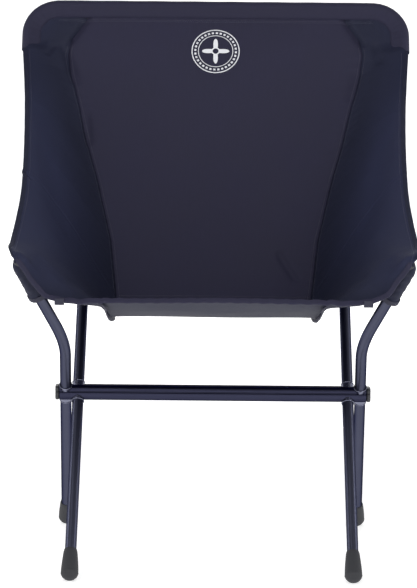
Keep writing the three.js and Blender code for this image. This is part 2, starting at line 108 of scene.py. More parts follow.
BOW_TOP = from_hub(0, 346, 816)
SEAT_TIP = from_hub(281.5, -190, 469)
MIDDLE_POINTS = [from_hub(0, y, z) for y, z in (
    (346, 816), (327.5, 785.2), (308.9, 754.3), (262, 662), (215, 560), (172, 470),
    (132, 402), (82, 360), (20, 361), (-60, 377), (-130, 395), (-186, 411))]
EDGE_POINTS = [from_hub(*point) for point in (
    (304, 297, 757), (296, 205, 697), (289, 100, 643), (286.5, -34, 556), (290, -100, 520),
    (294, -150, 495), (294.5, -182, 481), (288, -203, 469.5))]


# ---- Curves and grids ----
def unit(vectors):
    vectors = np.asarray(vectors, float)
    return vectors / np.maximum(np.linalg.norm(vectors, axis=-1, keepdims=True), 1e-12)


def mix(a, b, share):
    return a + (b - a) * share


def ramp(value, start, end):
    return np.clip((value - start) / (end - start), 0, 1)


def smooth_ramp(value, start, end):
    share = ramp(value, start, end)
    return share * share * (3 - 2 * share)


def smooth_line(points):
    """A centripetal Catmull-Rom curve through the points, as a dense line."""
    p = np.array(points, float)
    p = np.vstack([2 * p[0] - p[1], p, 2 * p[-1] - p[-2]])
    share = np.linspace(0, 1, SPAN_STEPS, endpoint=False)[:, None]
    line = []
    for a, b, c, d in zip(p, p[1:], p[2:], p[3:]):
        before, here, after = (math.sqrt(np.linalg.norm(v)) for v in (b - a, c - b, d - c))
        leave = ((b - a) / before - (c - a) / (before + here) + (c - b) / here) * here
        arrive = ((c - b) / here - (d - b) / (here + after) + (d - c) / after) * here
        line.append((2 * share ** 3 - 3 * share ** 2 + 1) * b + (share ** 3 - 2 * share ** 2 + share) * leave
                    + (3 * share ** 2 - 2 * share ** 3) * c + (share ** 3 - share ** 2) * arrive)
    return np.vstack([*line, p[-2]])


def distances(line):
    return np.concatenate([[0], np.cumsum(np.linalg.norm(np.diff(line, axis=0), axis=1))])


def point_at(line, reach, distance):
    return np.stack([np.interp(distance, reach, line[:, k]) for k in range(3)], axis=-1)


def resampled(line, step):
    reach = distances(line)
    return point_at(line, reach, np.linspace(0, reach[-1], max(2, round(reach[-1] / step) + 1)))


def rounded_path(points, reaches, steps=16):
    """A path through corner points, each inner corner rounded by the reach before and after it."""
    points = [np.array(p, float) for p in points]
    path = [points[0]]
    share = np.linspace(0, 1, steps + 1)[:, None]
    for before, corner, after, (reach_in, reach_out) in zip(points, points[1:], points[2:], reaches):
        start = corner - unit(corner - before) * reach_in
        end = corner + unit(after - corner) * reach_out
        path.extend((1 - share) ** 2 * start + 2 * share * (1 - share) * corner + share ** 2 * end)
    path.append(points[-1])
    return np.array(path)


def transported(path, start_normal=None):
    """Tangents, and a normal carried along the path without twist, or held to the given directions."""
    tangents = unit(np.gradient(path, axis=0))
    if start_normal is not None and np.ndim(start_normal) == 2:
        normals = np.asarray(start_normal, float)
        return tangents, unit(normals - (normals * tangents).sum(1, keepdims=True) * tangents)
    normal = X_AXIS if abs(tangents[0][0]) < 0.9 else Z_AXIS
    normal = normal if start_normal is None else np.asarray(start_normal, float)
    normals = []
    for tangent in tangents:
        normal = unit(normal - normal.dot(tangent) * tangent)
        normals.append(normal)
    return tangents, np.array(normals)


def swept(path, section, up=None):
    """Rows of points: a section of [across, up] pairs, or one for each row, carried along the path."""
    path = np.asarray(path, float)
    tangents, ups = transported(path, up)
    sides = np.cross(ups, tangents)
    section = np.broadcast_to(section, (len(path), *np.shape(section)[-2:]))
    return path[:, None] + section[..., :1] * sides[:, None] + section[..., 1:] * ups[:, None]


def circle(radius, sides=FINE):
    angle = np.arange(sides) * 2 * math.pi / sides
    return np.stack([radius * np.cos(angle), radius * np.sin(angle)], axis=1)


def rounded_box(width, height, corner, steps=6):
    """A rounded rectangle's outline as [across, up] pairs, anticlockwise."""
    points = []
    for quarter, (sx, sy) in enumerate(((1, 1), (-1, 1), (-1, -1), (1, -1))):
        for angle in np.linspace(0, math.pi / 2, steps + 1) + quarter * math.pi / 2:
            points.append((sx * (width / 2 - corner) + corner * math.cos(angle),
                           sy * (height / 2 - corner) + corner * math.sin(angle)))
    return np.array(points)


def turned(profile, sides=FINE):
    """Rows round Z from [radius, height] pairs."""
    profile = np.asarray(profile, float)
    rows = profile[:, None, :1] * circle(1, sides)[None]
    return np.concatenate([rows, np.broadcast_to(profile[:, None, 1:], (*rows.shape[:2], 1))], axis=2)


def arc(radius_at, height_at, radius, start, end, steps=8):
    """Points of a round stretch of a profile, its angles in degrees from outwards to up."""
    angles = np.radians(np.linspace(start, end, steps + 1))
    return [(radius_at + radius * math.cos(a), height_at + radius * math.sin(a)) for a in angles]


def placed(grid, origin, direction):
    """Turns rows made along +Z onto a direction, with their zero at a point."""
    turn = np.array(Vector(Z_AXIS).rotation_difference(Vector(direction)).to_matrix())
    return grid @ turn.T + np.asarray(origin)


def capped(grid, middles=None):
    """Adds a row at each end that has run together in one point, so that the skin closes there."""
    ends = grid.mean(axis=1, keepdims=True) if middles is None else middles
    sides = grid.shape[1]
    return np.concatenate([np.repeat(ends[:1], sides, 1), grid, np.repeat(ends[-1:], sides, 1)])


# ---- Meshes ----
def make_object(name, vertices, faces, uvs, material, sharp):
    mesh = bpy.data.meshes.new(name)
    mesh.from_pydata(np.reshape(vertices, (-1, 3)).tolist(), [], faces)
    mesh.uv_layers.new(name="UVMap").data.foreach_set("uv", np.asarray(uvs, np.float32).ravel())
    mesh.materials.append(material)
    mesh.polygons.foreach_set("use_smooth", [True] * len(mesh.polygons))
    if sharp:
        mesh.set_sharp_from_angle(angle=math.radians(sharp))
    mesh.validate()
    obj = bpy.data.objects.new(name, mesh)
    bpy.context.scene.collection.objects.link(obj)
    return obj


def skin(name, grid, material, around=False, along=False, uv=None, sharp=35, tidy=False):
    """A mesh over rows of points, joined round the row (around) or from last row to first (along).

    Its UV map is in metres: U runs along a row and V from row to row.
    """
    grid = np.asarray(grid, float)
    rows, columns = grid.shape[:2]
    if uv is None:
        across = np.linalg.norm(np.diff(grid, axis=1, append=grid[:, :1]), axis=2)
        down = np.linalg.norm(np.diff(grid, axis=0, append=grid[:1]), axis=2)
        width = np.concatenate([[0], np.cumsum(across.mean(0))])
        length = np.concatenate([[0], np.cumsum(down.mean(1))])
        u, v = np.meshgrid(width, length)
    else:
        u, v = (np.pad(value, ((0, 1), (0, 1)), mode="edge") for value in uv)
    faces, loops = [], []
    for i in range(rows if along else rows - 1):
        for j in range(columns if around else columns - 1):
            corners = ((i, j), (i + 1, j), (i + 1, j + 1), (i, j + 1))
            faces.append([(a % rows) * columns + b % columns for a, b in corners])
            loops.extend((u[a, b], v[a, b]) for a, b in corners)
    obj = make_object(name, grid, faces, loops, material, sharp)
    if tidy:
        merge_and_face_out(obj, sharp)
    return obj


def merged(obj, turn_faces):
    """Joins doubled points, then turns faces as the given function of the working mesh does."""
    work = bmesh.new()
    work.from_mesh(obj.data)
    bmesh.ops.remove_doubles(work, verts=work.verts, dist=JOIN_WITHIN)
    turn_faces(work)
    work.to_mesh(obj.data)
    work.free()


def outwards(work):
    bmesh.ops.recalc_face_normals(work, faces=work.faces)


def to_the_sitter(work):
    """Turns every face towards the sitter's side, -Y."""
    work.normal_update()
    bmesh.ops.reverse_faces(work, faces=[face for face in work.faces if face.normal.y > 0])


def merge_and_face_out(obj, sharp=35):
    """Joins doubled points at poles and seams, then turns every face outwards."""
    merged(obj, outwards)
    if sharp:
        obj.data.set_sharp_from_angle(angle=math.radians(sharp))


def with_modifier(obj, kind, **settings):
    modifier = obj.modifiers.new(kind.title(), kind)
    for key, value in settings.items():
        setattr(modifier, key, value)
    return modifier


def applied(obj):
    """Bakes the modifiers into the mesh and removes them."""
    graph = bpy.context.evaluated_depsgraph_get()
    mesh = bpy.data.meshes.new_from_object(obj.evaluated_get(graph))
    old = obj.data
    obj.modifiers.clear()
    obj.data = mesh
    bpy.data.meshes.remove(old)
    mesh.name = obj.name
    return obj


def settle(obj, body, slot, *nodes):
    """Hangs a finished piece on its body, in place of its CAD nodes; the slot argument is not used."""
    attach(obj, body)
    if nodes:
        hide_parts(*nodes)
    return obj


def tube_piece(node, path, body=ROOT):
    """A hollow tube along a path, its cut ends broken by a small lip, settled in place of its CAD node."""
    path = np.asarray(path, float)
    ends = unit(np.gradient(path, axis=0))
    start, end = path[0] + ends[0] * TUBE_LIP, path[-1] - ends[-1] * TUBE_LIP
    line = np.vstack([path[:1], start, path[1:-1], end, path[-1:]])
    radii = np.full(len(line), TUBE_OUTER)
    radii[[0, -1]] = TUBE_OUTER - TUBE_LIP
    outside = swept(line, circle(1)) - line[:, None]
    outside = outside * radii[:, None, None] + line[:, None]
    inside = swept(line, circle(TUBE_INNER))[::-1]
    tube = skin(f"{node}_fine", np.concatenate([outside, inside]), finish("tube"), around=True, along=True,
                tidy=True)
    settle(tube, body, "tube", node)


# ---- Materials ----
THREAD_PITCH = 0.9 * MM                 # the weave's thread spacing
CLOUDS = 0.16                           # how far dye and dust vary the cloth's brightness


def linear(colour):
    """A colour written as #rrggbb in sRGB, as linear RGB."""
    values = (int(colour[i:i + 2], 16) / 255 for i in (1, 3, 5))
    return tuple(v / 12.92 if v <= 0.04045 else ((v + 0.055) / 1.055) ** 2.4 for v in values)


def add_node(tree, kind, values=None, **settings):
    """A node with its settings, and its inputs as plain values or as links from other sockets."""
    node = tree.nodes.new(kind)
    for key, value in settings.items():
        setattr(node, key, value)
    for key, value in (values or {}).items():
        if isinstance(value, bpy.types.NodeSocket):
            tree.links.new(value, node.inputs[key])
        else:
            node.inputs[key].default_value = value
    return node


def start_material(name, **shader_values):
    """An empty material with its shader: (material, tree, shader)."""
    material = bpy.data.materials.new(name)
    material.use_nodes = True
    tree = material.node_tree
    tree.nodes.clear()
    values = {name.replace("_", " "): value for name, value in shader_values.items()}
    shader = add_node(tree, "ShaderNodeBsdfPrincipled", values)
    add_node(tree, "ShaderNodeOutputMaterial", {"Surface": shader.outputs[0]})
    return material, tree, shader


def math_node(tree, operation, *values):
    node = add_node(tree, "ShaderNodeMath", dict(enumerate(values)), operation=operation)
    return node.outputs[0]


def two_tones(tree, factor, first, second):
    """A colour between two, by a factor."""
    node = add_node(tree, "ShaderNodeMix", {0: factor, 6: (*first, 1), 7: (*second, 1)}, data_type="RGBA")
    return node.outputs[2]


def noise(tree, vector, scale, detail=2.0, roughness=0.5):
    values = {"Vector": vector, "Scale": scale, "Detail": detail, "Roughness": roughness}
    return add_node(tree, "ShaderNodeTexNoise", values).outputs["Fac"]


def map_range(tree, value, start, end, low, high, **settings):
    values = {"Value": value, 1: start, 2: end, 3: low, 4: high}
    return add_node(tree, "ShaderNodeMapRange", values, **settings).outputs[0]


def object_place(tree):
    return add_node(tree, "ShaderNodeTexCoord").outputs["Object"]


def cloth_place(tree):
    """The UV map, in metres."""
    return add_node(tree, "ShaderNodeUVMap", uv_map="UVMap").outputs[0]


def parted(tree, vector):
    """The outputs X, Y and Z of a vector."""
    return add_node(tree, "ShaderNodeSeparateXYZ", {"Vector": vector}).outputs


def stretched(tree, vector, scale):
    return add_node(tree, "ShaderNodeMapping", {"Vector": vector, "Scale": scale}).outputs[0]


def bump(tree, shader, height, distance, strength=1.0):
    node = add_node(tree, "ShaderNodeBump", {"Height": height, "Distance": distance, "Strength": strength})
    tree.links.new(node.outputs[0], shader.inputs["Normal"])


def shade(colour, factor):
    return tuple(min(1.0, value * factor) for value in colour)


def dressed(made, base, pattern, tones, rough, relief, tone=None):
    """Lets a pattern drive a material: its colour by two shares of the base, its roughness and its bump."""
    material, tree, shader = made
    dark, light = (shade(base, share) for share in tones)
    mixed = two_tones(tree, pattern if tone is None else tone, dark, light)
    tree.links.new(mixed, shader.inputs["Base Color"])
    tree.links.new(math_node(tree, "MULTIPLY_ADD", pattern, *rough), shader.inputs["Roughness"])
    bump(tree, shader, pattern, *relief)
    return material


def colours():
    return bpy.context.scene.chair_colours


def sizes():
    return bpy.context.scene.chair_sizes


def anodised(name, base):
    # 7000-series alloy, drawn, fine-brushed and dye-anodised: dark, with soft streaks along its length
    # and a faint cloud in the dye.
    made = start_material(name, Metallic=1.0, Roughness=0.3, Specular_Tint=(0.16, 0.16, 0.19, 1))
    tree = made[1]
    streaks = noise(tree, stretched(tree, cloth_place(tree), (900, 9, 1)), 1.0, 3.0, 0.6)
    cloud = noise(tree, object_place(tree), 22.0, 2.0)
    tone = math_node(tree, "MULTIPLY_ADD", streaks, 0.6, math_node(tree, "MULTIPLY", cloud, 0.4))
    return dressed(made, base, streaks, (0.8, 1.22), (0.2, 0.23), (0.006 * MM, 0.6), tone)


def anodised_tube():
    return anodised("anodised_aluminium_tube", tuple(colours().tube))


def anodised_bar():
    return anodised("anodised_aluminium_bar", tuple(colours().bar))


def bright_collar():
    # Turned aluminium collar, flanged over after anodising, so its rolled rim is worn bright.
    made = start_material("flanged_collar_aluminium", Metallic=1.0, Roughness=0.3)
    scuffs = noise(made[1], object_place(made[1]), 420.0, 3.0, 0.7)
    return dressed(made, colours().rim, scuffs, (0.75, 1.15), (0.25, 0.16), (0.01 * MM, 0.5))


def bare_aluminium():
    # Mill-finish aluminium ferrule, rubbed by the tube that slides over it.
    made = start_material("mill_finish_aluminium", Metallic=1.0, Roughness=0.34)
    rub = noise(made[1], stretched(made[1], cloth_place(made[1]), (1400, 30, 1)), 1.0, 3.0, 0.65)
    return dressed(made, colours().bare, rub, (0.78, 1.05), (0.3, 0.2), (0.01 * MM, 0.6))


def moulded_nylon():
    # Injection-moulded glass-filled nylon with a fine spark-eroded grain of about 0.5 mm.
    made = start_material("moulded_nylon", Roughness=0.5, IOR=1.53)
    grain = noise(made[1], object_place(made[1]), 1 / (0.5 * MM), 2.0, 0.6)
    return dressed(made, colours().plastic, grain, (0.85, 1.15), (0.2, 0.4), (0.05 * MM, 0.5))


def moulded_rubber():
    # Compression-moulded rubber: matt, with a fine grain, and dusty scuffs where it meets the ground.
    base = tuple(colours().rubber)
    material, tree, shader = start_material("moulded_rubber", Roughness=0.72, IOR=1.52)
    place = object_place(tree)
    grain = noise(tree, place, 1 / (0.8 * MM), 3.0, 0.6)
    low = map_range(tree, parted(tree, place)["Z"], 0.0, 9 * MM, 1.0, 0.0)
    scuff = math_node(tree, "MULTIPLY", low, noise(tree, place, 260.0, 4.0, 0.7))
    plain = two_tones(tree, scuff, base, shade(base, 2.2))
    grained = add_node(tree, "ShaderNodeMix", {
        0: math_node(tree, "MULTIPLY", grain, 0.4), 6: plain, 7: (*shade(base, 0.6), 1)}, data_type="RGBA")
    tree.links.new(grained.outputs[2], shader.inputs["Base Color"])
    tree.links.new(math_node(tree, "MULTIPLY_ADD", grain, 0.2, 0.6), shader.inputs["Roughness"])
    bump(tree, shader, grain, 0.12 * MM, 0.5)
    return material


def weave_height(tree, pitch):
    """Plain weave on the UV map: each thread rises over one crossing and dips under the next."""
    uv = cloth_place(tree)
    parts = parted(tree, uv)
    waves = []
    for axis in ("X", "Y"):
        turns = math_node(tree, "MULTIPLY", parts[axis], math.pi / pitch)
        waves.append(math_node(tree, "ABSOLUTE", math_node(tree, "SINE", turns)))
    check = add_node(tree, "ShaderNodeTexChecker", {"Vector": uv, "Scale": 1 / pitch}).outputs["Fac"]
    over = add_node(tree, "ShaderNodeMix", {0: check, 2: waves[0], 3: waves[1]}, data_type="FLOAT")
    return over.outputs[0], check, uv


def cloth(name, base, roughness, sheen, depth, contrast=0.35, painted_edge_light=0.0, gloss=0.3):
    """Woven cloth: thread colour by warp and weft, slow clouds of dye and dust, the weave's relief, and, if
    asked, painted light growing away from the seam.
    """
    material, tree, shader = start_material(
        name, Roughness=roughness, IOR=1.5, Specular_IOR_Level=gloss, Sheen_Weight=sheen,
        Sheen_Roughness=0.45, Sheen_Tint=(*shade(base, 6.0), 1))
    height, check, uv = weave_height(tree, THREAD_PITCH)
    slow = noise(tree, uv, 9.0, 3.0, 0.55)
    slub = noise(tree, stretched(tree, uv, (1 / (3 * THREAD_PITCH), 1 / (30 * THREAD_PITCH), 1)), 1.0, 2.0)
    threads = math_node(tree, "MULTIPLY_ADD", check, 0.25, math_node(tree, "MULTIPLY", height, 0.75))
    threads = math_node(tree, "MULTIPLY_ADD", slub, 0.4, threads)
    tone = two_tones(tree, threads, shade(base, 1 - contrast), shade(base, 1 + contrast * 0.8))
    value = math_node(tree, "MULTIPLY_ADD", slow, 2 * CLOUDS, 1 - CLOUDS)
    # Painted light: the cloth grows paler from 30 mm to 170 mm off the seam, in place of the shade that lies
    # near the seam.
    if painted_edge_light:
        from_seam = math_node(tree, "ABSOLUTE", parted(tree, uv)["X"])
        value = math_node(tree, "MULTIPLY", value, map_range(tree, from_seam, 0.03, 0.17, 1.0, 1.0 + painted_edge_light))
    cloudy = add_node(tree, "ShaderNodeHueSaturation", {"Color": tone, "Value": value})
    tree.links.new(cloudy.outputs[0], shader.inputs["Base Color"])
    tree.links.new(math_node(tree, "MULTIPLY_ADD", slow, 0.16, roughness - 0.08), shader.inputs["Roughness"])
    bump(tree, shader, height, depth, 0.7)
    return material


def panel_cloth():
    # 600-denier polyester in plain weave, its thread spacing drawn wide enough to show.
    return cloth("woven_polyester_panel", tuple(colours().panel), 0.76, 0.1, 0.12 * MM)


def wing_cloth():
    # The same plain weave in the side wings, bluer, set darker as painted shade, and painted paler towards
    # its free edge.
    return cloth("woven_polyester_wing", tuple(colours().wing), 0.74, 0.08, 0.12 * MM, painted_edge_light=0.75)


def coated_reverse():
    # The cloth's coated back: the weave shows faintly through a satin polyurethane film.
    return cloth("coated_reverse", tuple(colours().reverse), 0.6, 0.0, 0.05 * MM, contrast=0.15, gloss=0.14)


def binding_tape():
    # Grosgrain tape: ribs across its width, drawn every 1.1 mm.
    base = tuple(colours().binding)
    material, tree, shader = start_material("grosgrain_binding", Roughness=0.68, IOR=1.5, Sheen_Weight=0.2,
                                            Sheen_Roughness=0.4, Sheen_Tint=(*shade(base, 6.0), 1))
    uv = cloth_place(tree)
    turns = math_node(tree, "MULTIPLY", parted(tree, uv)["Y"], math.pi / (1.1 * MM))
    ribs = math_node(tree, "ABSOLUTE", math_node(tree, "SINE", turns))
    wear = noise(tree, stretched(tree, uv, (300, 60, 1)), 1.0, 3.0, 0.6)
    tone = math_node(tree, "MULTIPLY_ADD", ribs, 0.6, math_node(tree, "MULTIPLY", wear, 0.4))
    tree.links.new(two_tones(tree, tone, shade(base, 0.6), shade(base, 1.35)), shader.inputs["Base Color"])
    tree.links.new(math_node(tree, "MULTIPLY_ADD", wear, 0.15, 0.6), shader.inputs["Roughness"])
    bump(tree, shader, ribs, 0.15 * MM, 0.8)
    return material


def sewing_thread():
    # Bonded polyester thread, twisted, with a slight shine.
    made = start_material("bonded_thread", Roughness=0.45, IOR=1.53, Sheen_Weight=0.15)
    fibre = noise(made[1], object_place(made[1]), 1 / (0.3 * MM), 2.0)
    return dressed(made, colours().thread, fibre, (0.7, 1.3), (0.2, 0.35), (0.05 * MM, 0.5))


def braided_cord():
    # Elastic cord in a braided polyester cover: a diamond of strands round a rubber core.
    made = start_material("braided_elastic_cord", Roughness=0.62, IOR=1.5, Sheen_Weight=0.2)
    tree = made[1]
    parts = parted(tree, cloth_place(tree))
    strands = []
    for sign in (1, -1):
        slant = math_node(tree, "MULTIPLY_ADD", parts["X"], 2 * sign, parts["Y"])
        strands.append(math_node(tree, "SINE", math_node(tree, "MULTIPLY", slant, 2 * math.pi / (2.2 * MM))))
    braid = math_node(tree, "MAXIMUM", *strands)
    factor = math_node(tree, "MULTIPLY_ADD", braid, 0.5, 0.5)
    return dressed(made, colours().cord, factor, (0.35, 1.1), (-0.15, 0.7), (0.12 * MM, 0.8))


def print_ink():
    # White transfer print pressed into the cloth: slightly broken by the weave beneath.
    base = tuple(colours().print)
    material, tree, shader = start_material("white_transfer_print", Roughness=0.6, IOR=1.5)
    height, _, uv = weave_height(tree, THREAD_PITCH)
    broken = noise(tree, uv, 700.0, 3.0, 0.7)
    factor = math_node(tree, "MULTIPLY_ADD", height, 0.5, math_node(tree, "MULTIPLY", broken, 0.6))
    tree.links.new(two_tones(tree, factor, shade(base, 0.72), base), shader.inputs["Base Color"])
    bump(tree, shader, height, 0.05 * MM, 0.5)
    return material


FINISHES = {
    "tube": anodised_tube, "bar": anodised_bar, "collar": bright_collar, "bare_aluminium": bare_aluminium,
    "plastic": moulded_nylon, "rubber": moulded_rubber, "panel_fabric": panel_cloth,
    "wing_fabric": wing_cloth, "reverse": coated_reverse, "binding": binding_tape, "thread": sewing_thread,
    "cord": braided_cord, "print": print_ink}
MADE = {}


def finish(name):
    if name not in MADE:
        MADE[name] = FINISHES[name]()
    return MADE[name]


# ---- Legs ----
def leg_line(name, side_name):
    """The hub point, the foot's ball centre and the downward direction of one leg."""
    low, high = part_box(f"{name}_sleeve_{side_name}")
    hub = (low + high) / 2
    down = Vector(JOINTS[f"{name}_leg_pull_{side_name}"]["axis"]).normalized()
    foot = hub + down * ((hub.z - FOOT_BALL_HEIGHT) / -down.z)
    return np.array(hub), np.array(foot), np.array(down)


def up_from(name, side_name, distance):
    hub, _, down = leg_line(name, side_name)
    return hub - down * distance


def collar_profile():
    """The hub sleeve: a thin wall, flanged and rolled over at both ends."""
    inner, outer, rim, reach, roll = 8.8 * MM, 9.3 * MM, 10 * MM, 17 * MM, 0.75 * MM
    top = arc(rim - roll, reach - roll, roll, -90, 120, 10)
    bottom = [(radius, -height) for radius, height in reversed(top)]
    return [(inner, -reach + roll), *bottom, (outer, -reach + 2 * MM), (outer, reach - 2 * MM), *top,
            (inner, reach - roll)]


def ferrule_profile():
    """The insert: open above and below a web with a hole for the cord, its lower edge chamfered."""
    outer, inner, up, down, web, hole = 7.2 * MM, 6.3 * MM, 15 * MM, 62 * MM, 3 * MM, 1.8 * MM
    return [(inner, -up), (outer - 0.4 * MM, -up), (outer, -up + 0.6 * MM), (outer, down - 2 * MM),
            (outer - 0.7 * MM, down), (inner, down), (inner, web), (hole, web), (hole, 0), (inner, 0)]


def stopper_profile(start):
    """The cord stopper: a barrel with a grip groove round its middle."""
    outer, hole, length = 7.2 * MM, 1.8 * MM, 8 * MM
    end = start + length
    grip = outer - 0.7 * MM
    return [(hole, start), (outer - 0.8 * MM, start), (outer, start + 0.8 * MM), (outer, start + 3 * MM),
            (grip, start + 3.6 * MM), (grip, start + 4.6 * MM), (outer, start + 5.2 * MM),
            (outer, end - 0.8 * MM), (outer - 0.8 * MM, end), (hole, end)]


def foot_profile():
    """The foot: a shallow dome, a mould bead on its widest line, and a bell up to a stepped shoulder."""
    ball, shoulder, lip, length, bore = 13 * MM, 10.4 * MM, 10 * MM, 38 * MM, 8.8 * MM
    dome = [(ball * math.sin(a), FOOT_BALL_HEIGHT * math.cos(a)) for a in np.radians(np.linspace(0, 78, 14))]
    bead = [(ball - 0.1 * MM, 2.0 * MM), (ball + 0.25 * MM, 1.2 * MM), (ball, 0.3 * MM)]
    bell = [(mix(ball, shoulder, s ** 1.35), mix(-3.0, -33.5, s) * MM) for s in np.linspace(0, 1, 9)]
    top = [(shoulder - 0.1 * MM, -34.6 * MM), (lip - 0.2 * MM, -35.8 * MM),
           (lip - 0.5 * MM, -length + 0.4 * MM), (lip - 1.0 * MM, -length)]
    return [*dome, *bead, *bell, *top, (bore, -length), (bore, -FOOT_SEAT + CLEAR), (0, -FOOT_SEAT + CLEAR)]


def cord_profile(start, end):
    """An elastic cord along Z with an overhand knot at each end, in steps short enough to stretch evenly."""
    knot, length, step = 3.2 * MM, 5 * MM, 6 * MM

    def lump(centre, sign):
        heights = np.linspace(-1, 1, 15)
        return [(max(CORD_RADIUS, knot * math.sqrt(max(0, 1 - h * h)) * (0.82 + 0.18 * math.cos(7 * h))),
                 centre + sign * h * length / 2) for h in heights]

    profile = [(0, start - length), *lump(start - length / 2, 1), (CORD_RADIUS, start), (CORD_RADIUS, end),
               *lump(end + length / 2, 1), (0, end + length)]
    steps = []
    for (r0, h0), (r1, h1) in zip(profile, profile[1:]):
        count = max(1, int(abs(h1 - h0) / step))
        steps.extend((mix(r0, r1, i / count), mix(h0, h1, i / count)) for i in range(count))
    return [*steps, profile[-1]]


class CHAIR_OT_legs(bpy.types.Operator):
    """The four lower legs with their hub collars, ferrules, cords, stoppers and rubber feet"""
    bl_idname = "chair.legs"
    bl_label = "Legs"

    def execute(self, context):
        for name in ("front", "rear"):
            for side_name, _ in SIDES:
                self.leg_set(name, side_name)
        return {"FINISHED"}

    def leg_set(self, name, side_name):
        hub, foot, down = leg_line(name, side_name)
        body = f"{name}_leg_assembly_{side_name}"
        leg_end = np.linalg.norm(foot - hub) - FOOT_SEAT
        stopper_start = leg_end - 14 * MM
        stopper_end = stopper_start + 8 * MM

        def node(part):
            return f"{name}_{part}_{side_name}"

        def turned_piece(part, profile, body, look):
            rubber = look == "rubber"
            grid = placed(turned(profile), foot if rubber else hub, down)
            if rubber:
                grid[..., 2] = np.maximum(grid[..., 2], 0)      # its lowest points lie flat on the floor
            piece = skin(f"{node(part)}_fine", grid, finish(look), around=True, along=not rubber, tidy=True)
            settle(piece, body, look, node(part))

        turned_piece("sleeve", collar_profile(), ROOT, "collar")
        turned_piece("ferrule", ferrule_profile(), ROOT, "bare_aluminium")
        line = np.linspace(0, 1, 12)[:, None]
        tube_piece(node("leg"), mix(hub + down * CLEAR, hub + down * leg_end, line), body)
        turned_piece("cord_stopper", stopper_profile(stopper_start), body, "plastic")
        turned_piece("foot", foot_profile(), body, "rubber")
        profile = cord_profile(-CLEAR, stopper_end + CLEAR)
        cord = skin(f"{node('shock_cord')}_fine", placed(turned(profile, 16), hub, down), finish("cord"),
                    around=True, tidy=True)
        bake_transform(cord)
        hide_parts(node("shock_cord"))


# ---- Poles ----
def bow_point(side, x, drop):
    point = BOW_TOP - BOW_RISE * drop
    return np.array((side * x, point[1], point[2]))


def bow_corner(side, start_drop, end_x):
    """Down-to-up side run, quarter circle and top run of the bow, from a drop to a place on the top tube."""
    angle = np.linspace(0, math.pi / 2, 21)[:, None]
    centre = bow_point(side, BOW_SIDE - BOW_RADIUS, BOW_RADIUS)
    outward = X_AXIS * side
    round_part = centre + BOW_RADIUS * (np.cos(angle) * outward + np.sin(angle) * BOW_RISE)
    return np.vstack([bow_point(side, BOW_SIDE, start_drop), round_part, bow_point(side, end_x, 0)])


def plug_profile():
    """The seat pole's plug: a stem in the tube and a rounded button on its end."""
    stem, head, length = 7.2 * MM, 9.1 * MM, 6 * MM
    rounding = 2.4 * MM
    crown = arc(head - rounding, length - rounding, rounding, 0, 90, 6)
    return [(0, -14 * MM), (stem, -14 * MM), (stem, CLEAR), (head, CLEAR), *crown, (0, length)]


def connector_profile():
    outer, inner, half = 6.8 * MM, 6 * MM, 16 * MM
    return [(inner, -half), (outer - 0.4 * MM, -half), (outer, -half + 0.6 * MM), (outer, half - 0.6 * MM),
            (outer - 0.4 * MM, half), (inner, half)]


def seat_pole_end(side_name, side):
    """The seat pole's bend, its tip and the direction from one to the other."""
    bend = up_from("rear", side_name, SEAT_POLE_STRAIGHT)
    tip = SEAT_TIP * (side, 1, 1)
    return bend, tip, unit(tip - bend)


def back_pole_bends(side_name, side):
    return up_from("front", side_name, BACK_POLE_STRAIGHT), bow_point(side, BOW_SIDE, BOW_BEND)


